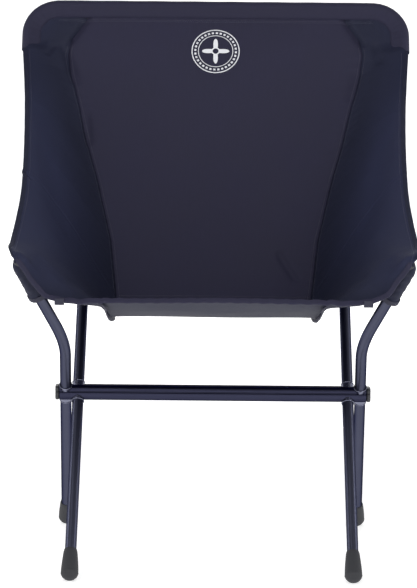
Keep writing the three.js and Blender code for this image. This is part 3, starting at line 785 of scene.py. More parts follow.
class CHAIR_OT_poles(bpy.types.Operator):
    """The seat poles, the back poles with their inner connectors and cords, and the bow over the back"""
    bl_idname = "chair.poles"
    bl_label = "Poles"

    def execute(self, context):
        for side_name, side in SIDES:
            self.seat_pole(side_name, side)
            self.back_pole(side_name, side)
        half = BOW_ELBOW_END - JOINT_GAP
        path = mix(bow_point(1, -half, 0), bow_point(1, half, 0), np.linspace(0, 1, 24)[:, None])
        tube_piece("bow_top_tube", path)
        return {"FINISHED"}

    def seat_pole(self, side_name, side):
        bend, tip, into = seat_pole_end(side_name, side)
        tube_piece(f"seat_pole_{side_name}",
                   rounded_path([up_from("rear", side_name, CLEAR), bend, tip], [(30 * MM, 42 * MM)], 20))
        plug = skin(f"seat_pole_plug_{side_name}_fine", placed(turned(plug_profile()), tip, into),
                    finish("plastic"), around=True, tidy=True)
        settle(plug, ROOT, "plastic", f"seat_pole_plug_{side_name}")

    def back_pole(self, side_name, side):
        first, second = back_pole_bends(side_name, side)
        leaning = unit(second - first)
        joint, elbow_joint = first + leaning * POLE_JOINT, second - leaning * ELBOW_JOINT
        gap = leaning * JOINT_GAP / 2
        lower_bend, upper_bend = (45 * MM, 45 * MM), (35 * MM, 10 * MM)
        lower = rounded_path([up_from("front", side_name, CLEAR), first, joint - gap], [lower_bend], 20)
        upper = mix(joint + gap, elbow_joint - gap, np.linspace(0, 1, 12)[:, None])
        lead = bow_point(side, BOW_SIDE, BOW_RADIUS + 2 * MM)
        corner = bow_corner(side, BOW_RADIUS + 2 * MM, BOW_ELBOW_END)
        elbow = np.vstack([rounded_path([elbow_joint + gap, second, lead], [upper_bend])[:-1], corner])
        for part, path in (("back_pole_lower", lower), ("back_pole_upper", upper), ("bow_elbow", elbow)):
            tube_piece(f"{part}_{side_name}", path)
        for part, point, direction in (("back_pole_ferrule", joint, leaning),
                                       ("bow_side_connector", elbow_joint, leaning),
                                       ("bow_top_connector", bow_point(side, BOW_ELBOW_END, 0), X_AXIS)):
            grid = placed(turned(connector_profile(), 32), point, direction)
            piece = skin(f"{part}_{side_name}_fine", grid, finish("bare_aluminium"), around=True, along=True,
                         tidy=True)
            settle(piece, ROOT, "bare_aluminium", f"{part}_{side_name}")
        route = rounded_path([up_from("front", side_name, 20 * MM), first, second, lead],
                             [lower_bend, upper_bend])
        route = resampled(np.vstack([route[:-1], corner]), 6 * MM)
        radii = np.full(len(route), CORD_RADIUS)
        radii[[0, -1]] = 0.3 * MM
        grid = route[:, None] + (swept(route, circle(1, 12)) - route[:, None]) * radii[:, None, None]
        cord = skin(f"back_pole_shock_cord_{side_name}_fine", capped(grid, route[:, None]), finish("cord"),
                    around=True, tidy=True)
        settle(cord, ROOT, "cord", f"back_pole_shock_cord_{side_name}")


# ---- Hub ----
def bar_outline():
    """The hub bar's section as [depth, height]: two full lobes with a groove between them, front and back."""
    depth, height, corner = BAR["depth"] / 2, BAR["height"] / 2, BAR["corner"]
    groove, half, cut = GROOVE["height"], GROOVE["half_width"], GROOVE["depth"]
    low_lip, top_lip = 0.9 * MM, 0.15 * MM

    def quarter(sx, sy):
        return [(sx * d, sy * h) for d, h in arc(depth - corner, height - corner, corner, 0, 90)]

    notch = [(depth, groove - half - low_lip), (depth - 0.3 * low_lip, groove - half),
             (depth - cut, groove - 0.3 * half), (depth - cut, groove + 0.3 * half),
             (depth - top_lip, groove + half), (depth, groove + half + top_lip)]
    right = [*reversed(quarter(1, -1)), *notch, *quarter(1, 1)]
    left = [(-d, h) for d, h in reversed(right)]
    return np.array([*right, *left])


def bar_rows(places):
    """Rows round the bar from (x, outline) pairs, closed at both ends."""
    return capped(np.array([[(x, HUB.y + d, HUB.z + h) for d, h in outline] for x, outline in places]))


def bar_piece(name, start, end, look, lip=0.5 * MM):
    """The bar's section carried along X, with small lips at its ends."""
    outline = bar_outline()
    places = ((start, -lip), (start + lip, 0), (end - lip, 0), (end, -lip))
    rows = bar_rows([(x, outline * (1 + grow / (BAR["height"] / 2))) for x, grow in places])
    return skin(name, rows, finish(look), around=True, tidy=True, sharp=30)


def cut_by(obj, cutter):
    with_modifier(obj, "BOOLEAN", object=cutter, operation="DIFFERENCE", solver="EXACT")
    applied(obj)
    bpy.data.objects.remove(cutter)


class CHAIR_OT_hub(bpy.types.Operator):
    """The grooved hub bar that the legs and poles cross, and its two end caps"""
    bl_idname = "chair.hub"
    bl_label = "Hub bar"

    def execute(self, context):
        end = BAR["length"] / 2 - BAR["cap"]
        bar = bar_piece("hub_bar_fine", -end, end, "bar")
        caps = {}
        for side_name, side in SIDES:
            start, stop = sorted((side * (end + CLEAR), side * BAR["length"] / 2))
            caps[side_name] = bar_piece(f"hub_end_cap_{side_name}_fine", start, stop, "plastic", 1.2 * MM)
        outline = rounded_box(*BAR["hollow"])
        rows = bar_rows([(-end - MM, outline), (end + MM, outline)])
        cut_by(bar, skin("hollow", rows, finish("bar"), around=True, tidy=True))
        radius, reach = HOLE["radius"], HOLE["reach"]
        drill = turned([(0, -reach), (radius, -reach), (radius, reach), (0, reach)])
        for name in ("front", "rear"):
            for side_name, _ in SIDES:
                hub, _, down = leg_line(name, side_name)
                cut_by(bar, skin("hole", placed(drill, hub, down), finish("bar"), around=True, tidy=True))
        bar.data.set_sharp_from_angle(angle=math.radians(30))
        with_modifier(bar, "BEVEL", width=0.25 * MM, segments=2, limit_method="ANGLE",
                      angle_limit=math.radians(50))
        settle(applied(bar), ROOT, "tube", "hub_bar")
        for side_name, cap in caps.items():
            settle(cap, ROOT, "plastic", f"hub_end_cap_{side_name}")
        return {"FINISHED"}


# ---- Sling surface ----
MIDDLE = smooth_line(MIDDLE_POINTS)
MIDDLE_REACH = distances(MIDDLE)
EDGE = smooth_line(EDGE_POINTS)
EDGE_REACH = distances(EDGE)
RIB_LENGTH = MIDDLE_REACH[-1]
CREASE = 0.62 * RIB_LENGTH              # the seam where the back panel meets the seat panel
SEAM_DROPS = np.append(np.array([20, 56, 84, 118, 154, 190, 243, 300, 400]) * MM, (CREASE, RIB_LENGTH))
SEAM_WIDTHS = np.array([206, 230, 235, 230, 221, 212, 200, 184, 161, 150, 164]) * MM
SLEEVE_TAIL = 21 * MM                   # how far the top sleeve's seam lies from the tube's centre

# Tension creases as (x, rib) ends, with their half width and depth, all in millimetres.
CREASES = (
    (-202, 14, -238, 72, 6, 6.5), (-246, 62, -220, 140, 8, 5.5), (-258, 66, -270, 96, 6, 3.5),
    (-206, 182, -198, 244, 7, 4.5), (202, 14, 238, 72, 6, 6), (254, 60, 262, 110, 7, 3.5),
    (228, 110, 214, 168, 8, 3.5), (99, 415, 130, 468, 6, 4), (-292, 500, -276, 516, 4, 3),
    (-262, 120, -232, 330, 26, -3.5), (258, 110, 236, 300, 26, -3), (-276, 260, -236, 560, 22, 4),
    (274, 280, 238, 540, 22, 3.5), (-150, 300, -120, 520, 30, 1.6), (146, 320, 118, 540, 28, 1.6),
    (-60, 120, -30, 330, 40, 1.4), (70, 160, 40, 380, 42, 1.4), (-270, 870, -196, 700, 12, 3),
    (272, 870, 200, 690, 12, 3), (-262, 880, -176, 790, 9, 2.4), (264, 880, 176, 796, 9, 2.4),
    (-274, 790, -226, 610, 14, -2), (276, 796, 230, 600, 14, -2),
)


def corner_width(rib):
    """Half width of the cloth inside the bow's sleeve, near the top."""
    inner = BOW_RADIUS - 11 * MM
    below = np.clip(BOW_RADIUS - rib, 0, inner)
    return BOW_SIDE - BOW_RADIUS + np.sqrt(inner ** 2 - below ** 2)


def seam_width(rib):
    return np.interp(rib, SEAM_DROPS, SEAM_WIDTHS)


def row_width(rib):
    share = ramp(rib, CORNER_END, RIB_LENGTH)
    edge = point_at(EDGE, EDGE_REACH, share * EDGE_REACH[-1])
    return mix(corner_width(rib), edge[..., 0], smooth_ramp(rib, 60 * MM, 86 * MM))


def sling_base(rib, across):
    """The stretched cloth, without creases: across runs from -1 to 1 from edge to edge."""
    rib, across = np.broadcast_arrays(np.asarray(rib, float), np.asarray(across, float))
    middle = point_at(MIDDLE, MIDDLE_REACH, rib)
    share = ramp(rib, CORNER_END, RIB_LENGTH)
    edge = point_at(EDGE, EDGE_REACH, share * EDGE_REACH[-1])
    free = smooth_ramp(rib, 60 * MM, 86 * MM)
    half = mix(corner_width(rib), edge[..., 0], free)
    flat = np.minimum(mix(seam_width(rib) / half, HEM_FLAT, smooth_ramp(share, 0.93, 1)), 0.97)
    out = ramp(np.abs(across), flat, 1)
    flared = out * (WING_RISE + out * (3 - 2 * WING_RISE - WING_FLARE - out * (2 - WING_RISE - WING_FLARE)))
    climb = mix(flared, out ** HEM_POWER, smooth_ramp(share, 0.9, 1)) * free
    return np.stack([across * half, mix(middle[..., 1], edge[..., 1], climb),
                     mix(middle[..., 2], edge[..., 2], climb)], axis=-1)


def relief(x, rib):
    """How far creases, puckers and slack push the cloth off its stretched shape, towards the sitter."""
    lift = np.zeros(np.shape(x))
    for x0, r0, x1, r1, half_width, depth in np.array(CREASES) * MM:
        run = np.array((x1 - x0, r1 - r0))
        share = ((x - x0) * run[0] + (rib - r0) * run[1]) / run.dot(run)
        away = np.hypot(x - x0 - np.clip(share, 0, 1) * run[0], rib - r0 - np.clip(share, 0, 1) * run[1])
        fade = np.clip(1 - (2 * np.abs(share - 0.5)) ** 4, 0, 1)
        lift -= depth * fade * np.exp(-(away / half_width) ** 2)
    seam = np.abs(np.abs(x) - seam_width(rib))
    lift -= 1.3 * MM * np.exp(-(seam / (2.6 * MM)) ** 2) * smooth_ramp(rib, 40 * MM, 60 * MM)
    near_seam = np.exp(-seam / (16 * MM))
    lift += 0.35 * MM * near_seam * np.sin(rib * 2 * math.pi / (17 * MM) + 2 * np.sin(rib * 31))
    below_sleeve = np.exp(-np.abs(rib - SLEEVE_TAIL) / (14 * MM))
    lift += 0.5 * MM * below_sleeve * np.sin(x * 2 * math.pi / (15 * MM) + 2 * np.sin(x * 23))
    above_hem = np.exp(-np.abs(RIB_LENGTH - rib) / (18 * MM))
    lift += 0.5 * MM * above_hem * np.sin(x * 2 * math.pi / (21 * MM) + 2 * np.sin(x * 17))
    crease = np.abs(rib - CREASE)
    lift -= 1.0 * MM * np.exp(-(crease / (2.6 * MM)) ** 2)
    slow = np.sin(x * 13 + 1.3) * np.sin(rib * 9.5 + 0.4) + 0.5 * np.sin(x * 29 + rib * 17)
    return lift + 0.7 * MM * slow * smooth_ramp(rib, 20 * MM, 120 * MM)


def off_bar(points, start, end):
    """Each point's share of the way along a bar, the nearest place on its axis, and the way from there."""
    run = end - start
    share = np.clip(((points - start) @ run) / run.dot(run), 0, 1)
    nearest = start + share[..., None] * run
    return share, nearest, points - nearest


def pushed_clear(points, start, end, radius):
    """Moves points out of a round-ended bar, straight away from its axis."""
    _, nearest, away = off_bar(points, start, end)
    distance = np.maximum(np.linalg.norm(away, axis=-1, keepdims=True), 1e-9)
    cleared = (radius ** 3 + distance ** 3) ** (1 / 3)
    return nearest + away * (cleared / distance)


LIFT_WAY = unit((0, -0.6, 0.8))         # towards the sitter and up
LIFT_ROOM, LIFT_SPREAD = 1.2, 2.2       # height and spread of the rise over a pole's end, in its radius


def lifted_over(points, start, end, radius):
    """Brings the cloth over a bar's end, with a slope that dies away round it."""
    share, _, away = off_bar(points, start, end)
    reach = np.linalg.norm(away, axis=-1) / radius
    needed = np.maximum(LIFT_ROOM * radius - away @ LIFT_WAY, 0) * smooth_ramp(share, 0.5, 0.85)
    return points + LIFT_WAY * (needed * np.exp(-(reach / LIFT_SPREAD) ** 2))[..., None]


def pole_axes(side_name, side):
    """The bars that the cloth lies over: the seat pole's end, and the back pole below the bow."""
    _, tip, into = seat_pole_end(side_name, side)
    first, second = back_pole_bends(side_name, side)
    return ((tip - into * 120 * MM, tip + into * 4 * MM, 12.5 * MM),
            (mix(first, second, 0.5), second, 10 * MM),
            (second, bow_point(side, BOW_SIDE, 70 * MM), 10 * MM))


def sling_surface(rib, across):
    """The finished cloth surface: stretched shape, relief, and room for the poles behind it."""
    rib, across = np.broadcast_arrays(np.asarray(rib, float), np.asarray(across, float))
    step = 0.5 * MM
    here = sling_base(rib, across)
    below, above = (sling_base(np.clip(rib + d, 0, RIB_LENGTH), across) for d in (step, -step))
    right, left = (sling_base(rib, np.clip(across + d, -1, 1)) for d in (1e-3, -1e-3))
    normal = unit(np.cross(below - above, right - left))
    points = here + normal * relief(here[..., 0], rib)[..., None]
    for side_name, side in SIDES:
        bars = pole_axes(side_name, side)
        points = lifted_over(points, *bars[0])
        for start, end, radius in bars:
            points = pushed_clear(points, start, end, radius)
    return points, normal


def cloth_piece(node, points, uv, look):
    """A sheet with its woven face towards the sitter and its coated face behind."""
    obj = skin(f"{node}_cloth", points, finish(look), uv=uv, sharp=0)
    obj.data.materials.append(finish("reverse"))
    with_modifier(obj, "SOLIDIFY", thickness=sizes().cloth_thickness, offset=0.0, material_offset=1,
                  material_offset_rim=0)
    settle(obj, ROOT, look, node)


class CHAIR_OT_sling(bpy.types.Operator):
    """The back and seat panels and the two side wings, with their tension creases"""
    bl_idname = "chair.sling"
    bl_label = "Sling"

    def execute(self, context):
        self.centre("back_panel", 15 * MM, CREASE, 200, flat=(0.47, 0.556), area=0.190)
        self.centre("seat_panel", CREASE, RIB_LENGTH, 124, flat=(0.328, 0.345), area=0.0975)
        for side_name, side in SIDES:
            self.wing(side_name, side)
        return {"FINISHED"}

    def centre(self, name, start, end, rows, flat, area):
        rib, share = np.meshgrid(np.linspace(start, end, rows), np.linspace(-1, 1, 161), indexing="ij")
        half = np.minimum(seam_width(rib), row_width(rib))
        points, _ = sling_surface(rib, share * half / row_width(rib))
        cloth_piece(name, points, (share * half, rib), "panel_fabric")

    def wing(self, side_name, side):
        rib, share = np.meshgrid(np.linspace(14 * MM, RIB_LENGTH, 304), np.linspace(0, 1, 56), indexing="ij")
        seam = np.minimum(seam_width(rib) / row_width(rib), 0.995)
        across = mix(seam, 1, share)
        points, _ = sling_surface(rib, side * across)
        uv = (side * distances_across(points), rib)
        if side < 0:
            points, uv = points[:, ::-1], tuple(value[:, ::-1] for value in uv)
        cloth_piece(f"wing_{side_name}", points, uv, "wing_fabric")


def distances_across(points):
    steps = np.linalg.norm(np.diff(points, axis=1), axis=2)
    return np.concatenate([np.zeros((len(points), 1)), np.cumsum(steps, axis=1)], axis=1)


# ---- Top sleeve, hems, seam tapes and pockets ----
def bow_path():
    left = bow_corner(-1, 79 * MM, 0)
    right = bow_corner(1, 79 * MM, 0)[::-1]
    middle = np.stack([bow_point(1, x, 0) for x in np.linspace(-222, 222, 90) * MM])
    return resampled(np.vstack([left[:-1], middle, right[1:]]), 4 * MM)


def teardrop(radius, tail):
    """The sleeve's section: round over the tube, then two layers closing to the seam, as [across, inward]."""
    open_angle = math.acos(radius / tail)
    angles = np.linspace(open_angle, 2 * math.pi - open_angle, 29)
    round_part = np.stack([radius * np.sin(angles), radius * np.cos(angles)], axis=1)
    start, end = round_part[-1], round_part[0]
    point = np.array((0, tail))
    closing = [mix(start, point - (0.5 * MM, 0), s) for s in (0.35, 0.7, 0.95)]
    opening = [mix(point + (0.5 * MM, 0), end, s) for s in (0.05, 0.3, 0.65)]
    return np.array([*round_part, *closing, *opening])


class CHAIR_OT_top_sleeve(bpy.types.Operator):
    """The sleeve that carries the sling on the bow, gathered round its two corners"""
    bl_idname = "chair.top_sleeve"
    bl_label = "Top sleeve"

    def execute(self, context):
        path = bow_path()
        reach = distances(path)
        in_corner = smooth_ramp(np.abs(path[:, 0]), 215 * MM, 240 * MM)
        inward = unit(np.cross(unit(np.gradient(path, axis=0)), np.cross(X_AXIS, BOW_RISE)))
        section = teardrop(10 * MM, SLEEVE_TAIL)
        rows = np.repeat(section[None], len(path), axis=0)
        inner = ramp(rows[..., 1], 0, SLEEVE_TAIL)
        pucker = np.sin(reach * 2 * math.pi / (11 * MM) + 1.7 * np.sin(reach * 40))[:, None]
        slow = np.sin(reach * 2 * math.pi / (63 * MM) + 0.8)[:, None]
        depth = mix(0.18, 0.75, in_corner)[:, None] * MM
        rows[..., 0] += inner * (1 - inner * 0.4) * depth * pucker + 0.25 * MM * slow
        rows[..., 0] *= 1 + 0.05 * in_corner[:, None] * pucker * (1 - inner)
        grid = swept(path, rows, up=inward)
        sleeve = skin("top_sleeve_cloth", grid, finish("panel_fabric"), around=True, sharp=0)
        sleeve.data.materials.append(finish("reverse"))
        merge_and_face_out(sleeve, 0)
        with_modifier(sleeve, "SOLIDIFY", thickness=0.6 * MM, offset=-1.0, material_offset=1,
                      material_offset_rim=0)
        settle(sleeve, ROOT, "panel_fabric", "top_sleeve")
        return {"FINISHED"}


def folded_tape(name, path, normals, width, thickness, material="binding", wave=0.15 * MM, pitch=23 * MM,
                taper=True):
    """A flat tape along a path, its broad face along the normals, with softly rounded edges."""
    section = rounded_box(width, thickness, thickness * 0.45, 5)
    reach = distances(path)
    rows = np.repeat(section[None], len(path), axis=0)
    rows[..., 1] += (wave * np.sin(reach * 2 * math.pi / pitch + 1.5 * np.sin(reach * 21)))[:, None]
    if taper:
        close = np.minimum(1, np.minimum(reach, reach[-1] - reach) / (3 * MM) + 0.25)
        rows *= close[:, None, None]
    grid = capped(swept(path, rows, up=normals))
    return skin(name, grid, finish(material), around=True, tidy=True, sharp=50)


def edge_line(side, start, end, count, inset=0.0, lift=0.0):
    """Points and normals along a wing's free edge, with the cloth's own direction across."""
    rib = np.linspace(start, end, count)
    across = side * (1 - inset / row_width(rib))
    points, normals = sling_surface(rib, across)
    return points + normals * lift, normals


def hem_line(limit, count, above=0.0, lift=0.0):
    across = np.linspace(-limit, limit, count)
    points, normals = sling_surface(np.full(count, RIB_LENGTH - above), across)
    return points + normals * lift, normals


def seam_line(side, start, end, offset=0.0, lift=0.0):
    rib = np.linspace(start, end, round((end - start) / (4 * MM)) + 1)
    width = seam_width(rib) + offset
    points, normals = sling_surface(rib, side * width / row_width(rib))
    return points + normals * lift, normals


class CHAIR_OT_hems(bpy.types.Operator):
    """Side bindings, the front hem and its tabs, and the bound seam allowances behind the cloth"""
    bl_idname = "chair.hems"
    bl_label = "Hems and seams"

    def execute(self, context):
        for side_name, side in SIDES:
            self.side_binding(side_name, side)
            self.seam_allowance(side_name, side)
            self.tab(side_name)
        points, normals = hem_line(0.985, 260)
        front = normals * 0.35 + np.array((0, -1.0, 0.28))
        points = points + np.array((0, -2.2, 3.4)) * MM
        hem = folded_tape("front_hem_tape", points, unit(front), sizes().hem_width, 3.0 * MM, "panel_fabric",
                          pitch=34 * MM)
        settle(hem, ROOT, "binding", "front_hem")
        return {"FINISHED"}

    def side_binding(self, side_name, side):
        points, normals = edge_line(side, 84 * MM, RIB_LENGTH - 2 * MM, 260)
        binding = folded_tape(f"side_binding_{side_name}_tape", points, normals, 7.5 * MM, 2.4 * MM,
                              "wing_fabric", pitch=41 * MM)
        settle(binding, ROOT, "binding", f"side_binding_{side_name}")

    def seam_allowance(self, side_name, side):
        """The bound allowance that stands off the reverse along each long seam."""
        points, normals = seam_line(side, 90 * MM, RIB_LENGTH - 6 * MM)
        reach = distances(points)
        lean = np.cross(unit(np.gradient(points, axis=0)), normals) * side
        direction = unit(-normals + lean * (0.9 + 0.3 * np.sin(reach * 19))[:, None])
        middle = points + direction * 3.6 * MM
        broad = np.cross(direction, unit(np.gradient(points, axis=0)))
        tape = folded_tape(f"seam_allowance_{side_name}", middle, broad, 6.5 * MM, 1.6 * MM, wave=0.4 * MM)
        settle(tape, ROOT, "binding")

    def tab(self, side_name):
        """A folded webbing tab sewn under the front hem."""
        low, high = (np.array(corner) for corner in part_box(f"front_tab_{side_name}"))
        centre = (low + high) / 2
        half, top, bottom = 1.5 * MM, high[2] + 8 * MM, low[2] + 6 * MM
        turn = np.linspace(0, math.pi, 13)
        loop = [(0, centre[1] - half, top)]
        loop += [(0, centre[1] - half * math.cos(a), bottom - 2 * MM * math.sin(a)) for a in turn]
        loop += [(0, centre[1] + half, top)]
        path = np.array(loop) + np.array((centre[0], 0, 0))
        across = np.repeat(X_AXIS[None], len(path), 0)
        broad = np.cross(unit(np.gradient(path, axis=0)), across)
        tab = folded_tape(f"front_tab_{side_name}_webbing", path, broad, 14 * MM, 1.3 * MM, wave=0.0,
                          taper=False)
        settle(tab, ROOT, "binding", f"front_tab_{side_name}")


POCKET = {"radius": 12.2 * MM, "mouth": -73 * MM, "end": 7.6 * MM, "sides": 56}


def pocket_grid(side_name, side):
    """The pocket's rows: a flattened, gathered tube over the seat pole's end, closed past its plug."""
    _, tip, into = seat_pole_end(side_name, side)
    reach = np.linspace(POCKET["mouth"], POCKET["end"], 64)
    path = tip + reach[:, None] * into
    around = np.arange(POCKET["sides"]) * 2 * math.pi / POCKET["sides"]
    closing = np.sqrt(np.clip(1 - (np.maximum(reach + 8 * MM, 0) / (16.6 * MM)) ** 2, 0.0, 1))
    mouth = 1 + 0.05 * np.exp(-((reach - POCKET["mouth"]) / (5 * MM)) ** 2)
    size = POCKET["radius"] * closing * mouth
    flat = 1 + 0.13 * np.cos(2 * around)
    gather = 0.035 * np.sin(5 * around[None] + reach[:, None] * 60)
    gather = gather * smooth_ramp(reach, POCKET["mouth"], -50 * MM)[:, None]
    folds = 0.03 * np.sin(reach[:, None] * 2 * math.pi / (16 * MM) + 3 * np.sin(around[None] * 2))
    shape = size[:, None] * (flat[None] + gather + folds)
    section = np.stack([shape * np.cos(around), shape * np.sin(around)], axis=-1)
    return swept(path, section, up=np.repeat(unit(np.array((-side * 0.4, -0.5, -0.6)))[None], len(path), 0))


class CHAIR_OT_pockets(bpy.types.Operator):
    """The corner pockets that take the seat poles' ends"""
    bl_idname = "chair.pockets"
    bl_label = "Corner pockets"

    def execute(self, context):
        for side_name, side in SIDES:
            grid = pocket_grid(side_name, side)
            closed = np.concatenate([grid, np.repeat(grid[-1:].mean(1, keepdims=True), grid.shape[1], 1)])
            pocket = skin(f"corner_pocket_{side_name}_cloth", closed, finish("wing_fabric"), around=True,
                          tidy=True, sharp=0)
            face_away_from(pocket, grid.mean(axis=(0, 1)))
            with_modifier(pocket, "SOLIDIFY", thickness=1.0 * MM, offset=-1.0)
            settle(pocket, ROOT, "binding", f"corner_pocket_{side_name}")
            mouth = grid[0]
            ring = np.vstack([mouth, mouth[:2]])
            out = unit(ring - mouth.mean(0))
            rim = folded_tape(f"pocket_mouth_{side_name}", ring + out * 0.2 * MM, out, 9 * MM, 1.8 * MM,
                              wave=0.0, taper=False)
            settle(rim, ROOT, "binding")
        return {"FINISHED"}


def face_away_from(obj, point):
    """Turns an open shell's faces outwards from a point inside it."""
    mesh = obj.data
    score = sum((face.center - Vector(point)).dot(face.normal) * face.area for face in mesh.polygons)
    if score < 0:
        mesh.flip_normals()


# ---- Badge ----
BADGE_MIDDLE, BADGE_RADIUS, BADGE_LIFT = 79 * MM, 38.5 * MM, 0.75 * MM


def badge_points(x, down):
    """Places flat badge coordinates on the back panel's front."""
    rib = BADGE_MIDDLE + down
    points, normals = sling_surface(rib, x / row_width(rib))
    return points + normals * BADGE_LIFT


def polar_grid(inner, outer, start=0.0, end=2 * math.pi, turns=144, rings=3):
    """Rows of a flat shape between two outlines, each a radius or a function of the angle."""
    angle = np.linspace(start, end, turns)
    reach = [value(angle) if callable(value) else np.full(turns, value) for value in (inner, outer)]
    radius = mix(reach[0][None], reach[1][None], np.linspace(0, 1, rings)[:, None])
    right, up = radius * np.sin(angle), radius * np.cos(angle)
    return badge_points(right, -up), (right, up)


class CHAIR_OT_badge(bpy.types.Operator):
    """A plain round print on the back panel: two rings, a row of dashes and a four-pointed star"""
    bl_idname = "chair.badge"
    bl_label = "Badge"

    def execute(self, context):
        radius = BADGE_RADIUS
        shapes = [polar_grid(radius * 0.955, radius), polar_grid(radius * 0.70, radius * 0.73)]
        dashes = 32
        for i in range(dashes):
            turn = i * 2 * math.pi / dashes
            shapes.append(polar_grid(radius * 0.80, radius * 0.885, turn, turn + 0.11, turns=6))

        def star(angle):
            return radius * (0.17 + 0.40 * np.abs(np.cos(2 * angle)) ** 5)

        shapes.append(polar_grid(radius * 0.12, star, rings=10, turns=192))
        vertices, faces, loops = [], [], []
        for grid, (u, v) in shapes:
            base = len(vertices)
            rows, columns = grid.shape[:2]
            vertices.extend(grid.reshape(-1, 3).tolist())
            for i in range(rows - 1):
                for j in range(columns - 1):
                    corners = ((i, j), (i, j + 1), (i + 1, j + 1), (i + 1, j))
                    faces.append([base + a * columns + b for a, b in corners])
                    loops.extend((u[a, b], v[a, b]) for a, b in corners)
        badge = make_object("round_patch_print", vertices, faces, loops, finish("print"), 0)
        merged(badge, to_the_sitter)
        with_modifier(badge, "SOLIDIFY", thickness=0.25 * MM, offset=1.0)
        settle(badge, ROOT, "print", "round_patch")
        return {"FINISHED"}


# ---- Stitching ----
def stitch_lines():
    """Each run of stitches as (points, normals), a little proud of the cloth."""
    lift = sizes().cloth_thickness / 2 + 0.15 * MM
    lines = []
    for _, side in SIDES:
        for offset in (-4 * MM, 4 * MM):
            lines.append(seam_line(side, 72 * MM, RIB_LENGTH - 8 * MM, offset, lift))
        lines.append(edge_line(side, 92 * MM, RIB_LENGTH - 12 * MM, 300, inset=6.5 * MM, lift=lift))
    for above in (8 * MM, 11 * MM):
        lines.append(hem_line(0.94, 300, above, lift))
    for rib in (SLEEVE_TAIL + 3 * MM, SLEEVE_TAIL + 5.5 * MM):
        half = corner_width(rib) - 30 * MM
        across = np.linspace(-half, half, 240) / row_width(rib)
        points, normals = sling_surface(np.full(240, rib), across)
        lines.append((points + normals * lift, normals))
    for offset in (-4 * MM, 4 * MM):
        rib = np.full(120, CREASE + offset)
        across = np.linspace(-0.97, 0.97, 120) * seam_width(rib) / row_width(rib)
        points, normals = sling_surface(rib, across)
        lines.append((points + normals * lift, normals))
    return lines


def stitch_tree():
    """Geometry Nodes: short threads laid end to end along lines, flat on the cloth."""
    tree = bpy.data.node_groups.new("Stitches", "GeometryNodeTree")
    sockets = {}
    for name, kind in (("Geometry", "NodeSocketGeometry"), ("Pitch", "NodeSocketFloat"),
                       ("Thread Length", "NodeSocketFloat"), ("Thread Radius", "NodeSocketFloat"),
                       ("Unevenness", "NodeSocketFloat"), ("Seed", "NodeSocketInt"),
                       ("Material", "NodeSocketMaterial")):
        sockets[name] = tree.interface.new_socket(name=name, in_out="INPUT", socket_type=kind).identifier
    tree.interface.new_socket(name="Geometry", in_out="OUTPUT", socket_type="NodeSocketGeometry")
    given = add_node(tree, "NodeGroupInput").outputs
    curve = add_node(tree, "GeometryNodeMeshToCurve", {"Mesh": given["Geometry"]}).outputs[0]
    spaced = add_node(tree, "GeometryNodeResampleCurve", {"Curve": curve, "Length": given["Pitch"]},
                      mode="LENGTH")
    thread = add_node(tree, "GeometryNodeMeshUVSphere", {"Segments": 6, "Rings": 4, "Radius": 1.0}).outputs[0]
    half = math_node(tree, "MULTIPLY", given["Thread Length"], 0.5)
    size = add_node(tree, "ShaderNodeCombineXYZ", {"X": half, "Y": given["Thread Radius"],
                                                   "Z": given["Thread Radius"]}).outputs[0]
    shaped = add_node(tree, "GeometryNodeTransform", {"Geometry": thread, "Scale": size}).outputs[0]
    up = add_node(tree, "GeometryNodeInputNamedAttribute", {"Name": "cloth_normal"}, data_type="FLOAT_VECTOR")
    tangent = add_node(tree, "GeometryNodeInputTangent").outputs[0]
    along = add_node(tree, "FunctionNodeAlignRotationToVector", {"Vector": tangent}, axis="X").outputs[0]
    flat = add_node(tree, "FunctionNodeAlignRotationToVector", {"Rotation": along, "Vector": up.outputs[0]},
                    axis="Z", pivot_axis="X").outputs[0]
    least = math_node(tree, "SUBTRACT", 1.0, given["Unevenness"])
    uneven = add_node(tree, "FunctionNodeRandomValue", {2: least, 3: 1.0, "Seed": given["Seed"]},
                      data_type="FLOAT").outputs[1]
    laid = add_node(tree, "GeometryNodeInstanceOnPoints", {"Points": spaced.outputs[0], "Instance": shaped,
                                                           "Rotation": flat, "Scale": uneven}).outputs[0]
    real = add_node(tree, "GeometryNodeRealizeInstances", {"Geometry": laid}).outputs[0]
    threads = add_node(tree, "GeometryNodeSetMaterial", {"Geometry": real, "Material": given["Material"]})
    add_node(tree, "NodeGroupOutput", {"Geometry": threads.outputs[0]})
    return tree, sockets


class CHAIR_OT_stitches(bpy.types.Operator):
    """Rows of lockstitch along every seam and hem of the sling"""
    bl_idname = "chair.stitches"
    bl_label = "Stitching"

    def execute(self, context):
        vertices, normals, edges = [], [], []
        for points, ups in stitch_lines():
            base = len(vertices)
            vertices.extend(points.tolist())
            normals.extend(ups.tolist())
            edges.extend((base + i, base + i + 1) for i in range(len(points) - 1))
        mesh = bpy.data.meshes.new("seam_stitches")
        mesh.from_pydata(vertices, edges, [])
        mesh.attributes.new("cloth_normal", "FLOAT_VECTOR", "POINT").data.foreach_set(
            "vector", np.array(normals, np.float32).ravel())
        stitches = bpy.data.objects.new("seam_stitches", mesh)
        context.scene.collection.objects.link(stitches)
        tree, sockets = stitch_tree()
        modifier = stitches.modifiers.new("Stitches", "NODES")
        modifier.node_group = tree
        for name, value in (("Pitch", sizes().stitch_pitch), ("Thread Length", sizes().stitch_length),
                            ("Thread Radius", sizes().thread_radius), ("Unevenness", 0.18), ("Seed", 7),
                            ("Material", finish("thread"))):
            modifier[sockets[name]] = value
        applied(stitches)
        stitches.data.polygons.foreach_set("use_smooth", [True] * len(stitches.data.polygons))
        if not stitches.data.polygons:
            raise RuntimeError("the stitching came out empty")
        settle(stitches, ROOT, "binding")
        return {"FINISHED"}


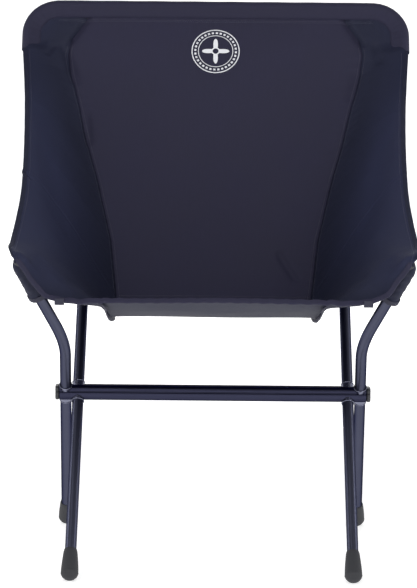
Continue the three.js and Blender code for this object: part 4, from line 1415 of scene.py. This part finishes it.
# ---- Stage ----
class CHAIR_OT_stage(bpy.types.Operator):
    """A plain white floor, soft studio light and the camera"""
    bl_idname = "chair.stage"
    bl_label = "Stage"

    def execute(self, context):
        self.camera(context)
        self.floor()
        self.world(context)
        for name, place, size, power in (
                ("key_light", (-1.6, -3.2, 2.9), (2.2, 1.6), 62),
                ("fill_light", (2.0, -3.0, 2.4), (2.2, 1.6), 46),
                ("side_strip_left", (-3.0, 0.2, 1.0), (0.5, 2.4), 16),
                ("side_strip_right", (3.0, 0.2, 1.0), (0.5, 2.4), 16),
                ("back_light", (0.0, 3.2, 2.6), (2.6, 1.4), 50)):
            self.soft_box(context, name, place, size, power)
        context.scene.view_settings.view_transform = "Standard"
        context.scene.view_settings.look = "None"
        return {"FINISHED"}

    def camera(self, context):
        stage = context.scene.chair_stage
        data = bpy.data.cameras.new("camera")
        data.lens = stage.lens
        data.clip_end = 100
        camera = bpy.data.objects.new("camera", data)
        turn = (Matrix.Rotation(math.pi / 2 - stage.pitch, 4, "X") @ Matrix.Rotation(stage.roll, 4, "Z"))
        camera.matrix_world = Matrix.Translation((-0.008, -stage.distance, stage.height)) @ turn
        context.scene.collection.objects.link(camera)
        context.scene.camera = camera

    def floor(self):
        material, tree, shader = start_material("white_studio_floor", Roughness=0.9, Specular_IOR_Level=0.1,
                                                Emission_Color=(1, 1, 1, 1))
        place = object_place(tree)
        reach = add_node(tree, "ShaderNodeVectorMath", {0: place}, operation="LENGTH").outputs["Value"]
        tree.links.new(map_range(tree, reach, 0.5, 2.6, 0.5, 1.0), shader.inputs["Emission Strength"])
        white = two_tones(tree, noise(tree, place, 3.0), (0.80, 0.80, 0.80), (0.84, 0.84, 0.84))
        tree.links.new(white, shader.inputs["Base Color"])
        grid = np.array([[(x, y, 0) for x in (-30, 30)] for y in (30, -30)], float)
        floor = skin("floor", grid, material, sharp=0)

    def world(self, context):
        """White all round at eye height for the backdrop, and a dim ceiling for the tubes to mirror."""
        world = bpy.data.worlds.new("studio")
        world.use_nodes = True
        tree = world.node_tree
        tree.nodes.clear()
        direction = add_node(tree, "ShaderNodeTexCoord").outputs["Generated"]
        dim = map_range(tree, parted(tree, direction)["Z"], 0.02, 0.55, 1.0, 0.22,
                        interpolation_type="SMOOTHSTEP")
        seen = add_node(tree, "ShaderNodeLightPath").outputs["Is Camera Ray"]
        strength = add_node(tree, "ShaderNodeMix", {0: seen, 2: dim, 3: 1.05}, data_type="FLOAT").outputs[0]
        shader = add_node(tree, "ShaderNodeBackground", {"Color": (1, 1, 1, 1), "Strength": strength})
        add_node(tree, "ShaderNodeOutputWorld", {"Surface": shader.outputs[0]})
        context.scene.world = world

    def soft_box(self, context, name, place, size, power):
        data = bpy.data.lights.new(name, "AREA")
        data.shape = "RECTANGLE"
        data.size, data.size_y = size
        data.energy = power
        light = bpy.data.objects.new(name, data)
        aim = Vector((0, 0, 0.5)) - Vector(place)
        light.matrix_world = Matrix.Translation(place) @ aim.to_track_quat("-Z", "Y").to_matrix().to_4x4()
        context.scene.collection.objects.link(light)


# ---- Settings, panel and registration ----
def length_setting(name, description, default, least):
    return FloatProperty(name=name, description=description, default=default, min=least, unit="LENGTH")


class ChairSizes(bpy.types.PropertyGroup):
    """Sizes of the soft parts"""
    cloth_thickness: length_setting("Cloth Thickness", "Thickness of the sling's cloth", 0.0009, 0.0003)
    hem_width: length_setting("Hem Width", "Height of the folded front hem", 0.0078, 0.004)
    stitch_pitch: length_setting("Stitch Pitch", "Distance from stitch to stitch", 0.0034, 0.001)
    stitch_length: length_setting("Stitch Length", "Length of thread in one stitch", 0.0026, 0.0005)
    thread_radius: length_setting("Thread Radius", "Half the sewing thread's thickness", 0.00032, 0.0001)


def colour_setting(name, description, default):
    return FloatVectorProperty(name=name, description=description, subtype="COLOR", size=3, min=0, max=1,
                               default=linear(default))


class ChairColours(bpy.types.PropertyGroup):
    """Colours of the chair's finishes"""
    tube: colour_setting("Tube", "Dyed anodising of the tubes", "#505263")
    bar: colour_setting("Hub Bar", "Dyed anodising of the hub bar", "#343548")
    rim: colour_setting("Collar", "Worn flange of the hub collars", "#7c7e92")
    bare: colour_setting("Bare Aluminium", "Ferrules and inner connectors", "#b9bbc2")
    plastic: colour_setting("Plastic", "End caps, plugs and stoppers", "#26272c")
    rubber: colour_setting("Rubber", "Feet", "#2b2c31")
    panel: colour_setting("Panel Cloth", "Woven face of the back and seat panels", "#201f33")
    # Painted shade: the wing cloth is set darker than the panel cloth to stand in for the shade on the wings.
    wing: colour_setting("Wing Cloth", "Woven face of the side wings", "#15182c")
    reverse: colour_setting("Reverse", "Coated back of the cloth", "#181a30")
    binding: colour_setting("Binding", "Grosgrain tape on seams and mouths", "#1c1c30")
    thread: colour_setting("Thread", "Sewing thread", "#3d3d50")
    cord: colour_setting("Cord", "Cover of the elastic cord", "#8a8d96")
    print: colour_setting("Print", "Round print on the back", "#e6e7ec")


class ChairStage(bpy.types.PropertyGroup):
    """Camera settings"""
    lens: FloatProperty(name="Lens", description="Focal length", default=183.7, min=10, unit="CAMERA")
    distance: FloatProperty(name="Distance", description="Camera distance in front of the chair",
                            default=4.5733, unit="LENGTH")
    height: FloatProperty(name="Height", description="Camera height above the floor", default=1.02,
                          unit="LENGTH")
    pitch: FloatProperty(name="Pitch", description="Downward tilt", default=math.radians(7.86),
                         subtype="ANGLE")
    roll: FloatProperty(name="Roll", description="Tilt to one side", default=math.radians(0.5),
                        subtype="ANGLE")


class CHAIR_PT_panel(bpy.types.Panel):
    """Builds the chair piece by piece"""
    bl_idname = "CHAIR_PT_panel"
    bl_label = "Backpacking Chair"
    bl_space_type = "VIEW_3D"
    bl_region_type = "UI"
    bl_category = "Chair"

    def draw(self, context):
        for group in (context.scene.chair_sizes, context.scene.chair_colours, context.scene.chair_stage):
            for name in group.__annotations__:
                self.layout.prop(group, name)
        for operator in OPERATORS:
            self.layout.operator(operator.bl_idname)


OPERATORS = (CHAIR_OT_stage, CHAIR_OT_legs, CHAIR_OT_poles, CHAIR_OT_hub, CHAIR_OT_sling, CHAIR_OT_top_sleeve,
             CHAIR_OT_hems, CHAIR_OT_pockets, CHAIR_OT_badge, CHAIR_OT_stitches)
CLASSES = (ChairSizes, ChairColours, ChairStage, *OPERATORS, CHAIR_PT_panel)


def register():
    for cls in CLASSES:
        bpy.utils.register_class(cls)
    bpy.types.Scene.chair_sizes = PointerProperty(type=ChairSizes)
    bpy.types.Scene.chair_colours = PointerProperty(type=ChairColours)
    bpy.types.Scene.chair_stage = PointerProperty(type=ChairStage)


def unregister():
    del bpy.types.Scene.chair_stage, bpy.types.Scene.chair_colours, bpy.types.Scene.chair_sizes
    for cls in reversed(CLASSES):
        bpy.utils.unregister_class(cls)


def main():
    register()
    for operator in OPERATORS:
        group, name = operator.bl_idname.split(".")
        getattr(getattr(bpy.ops, group), name)()


if __name__ == "__main__":
    main()
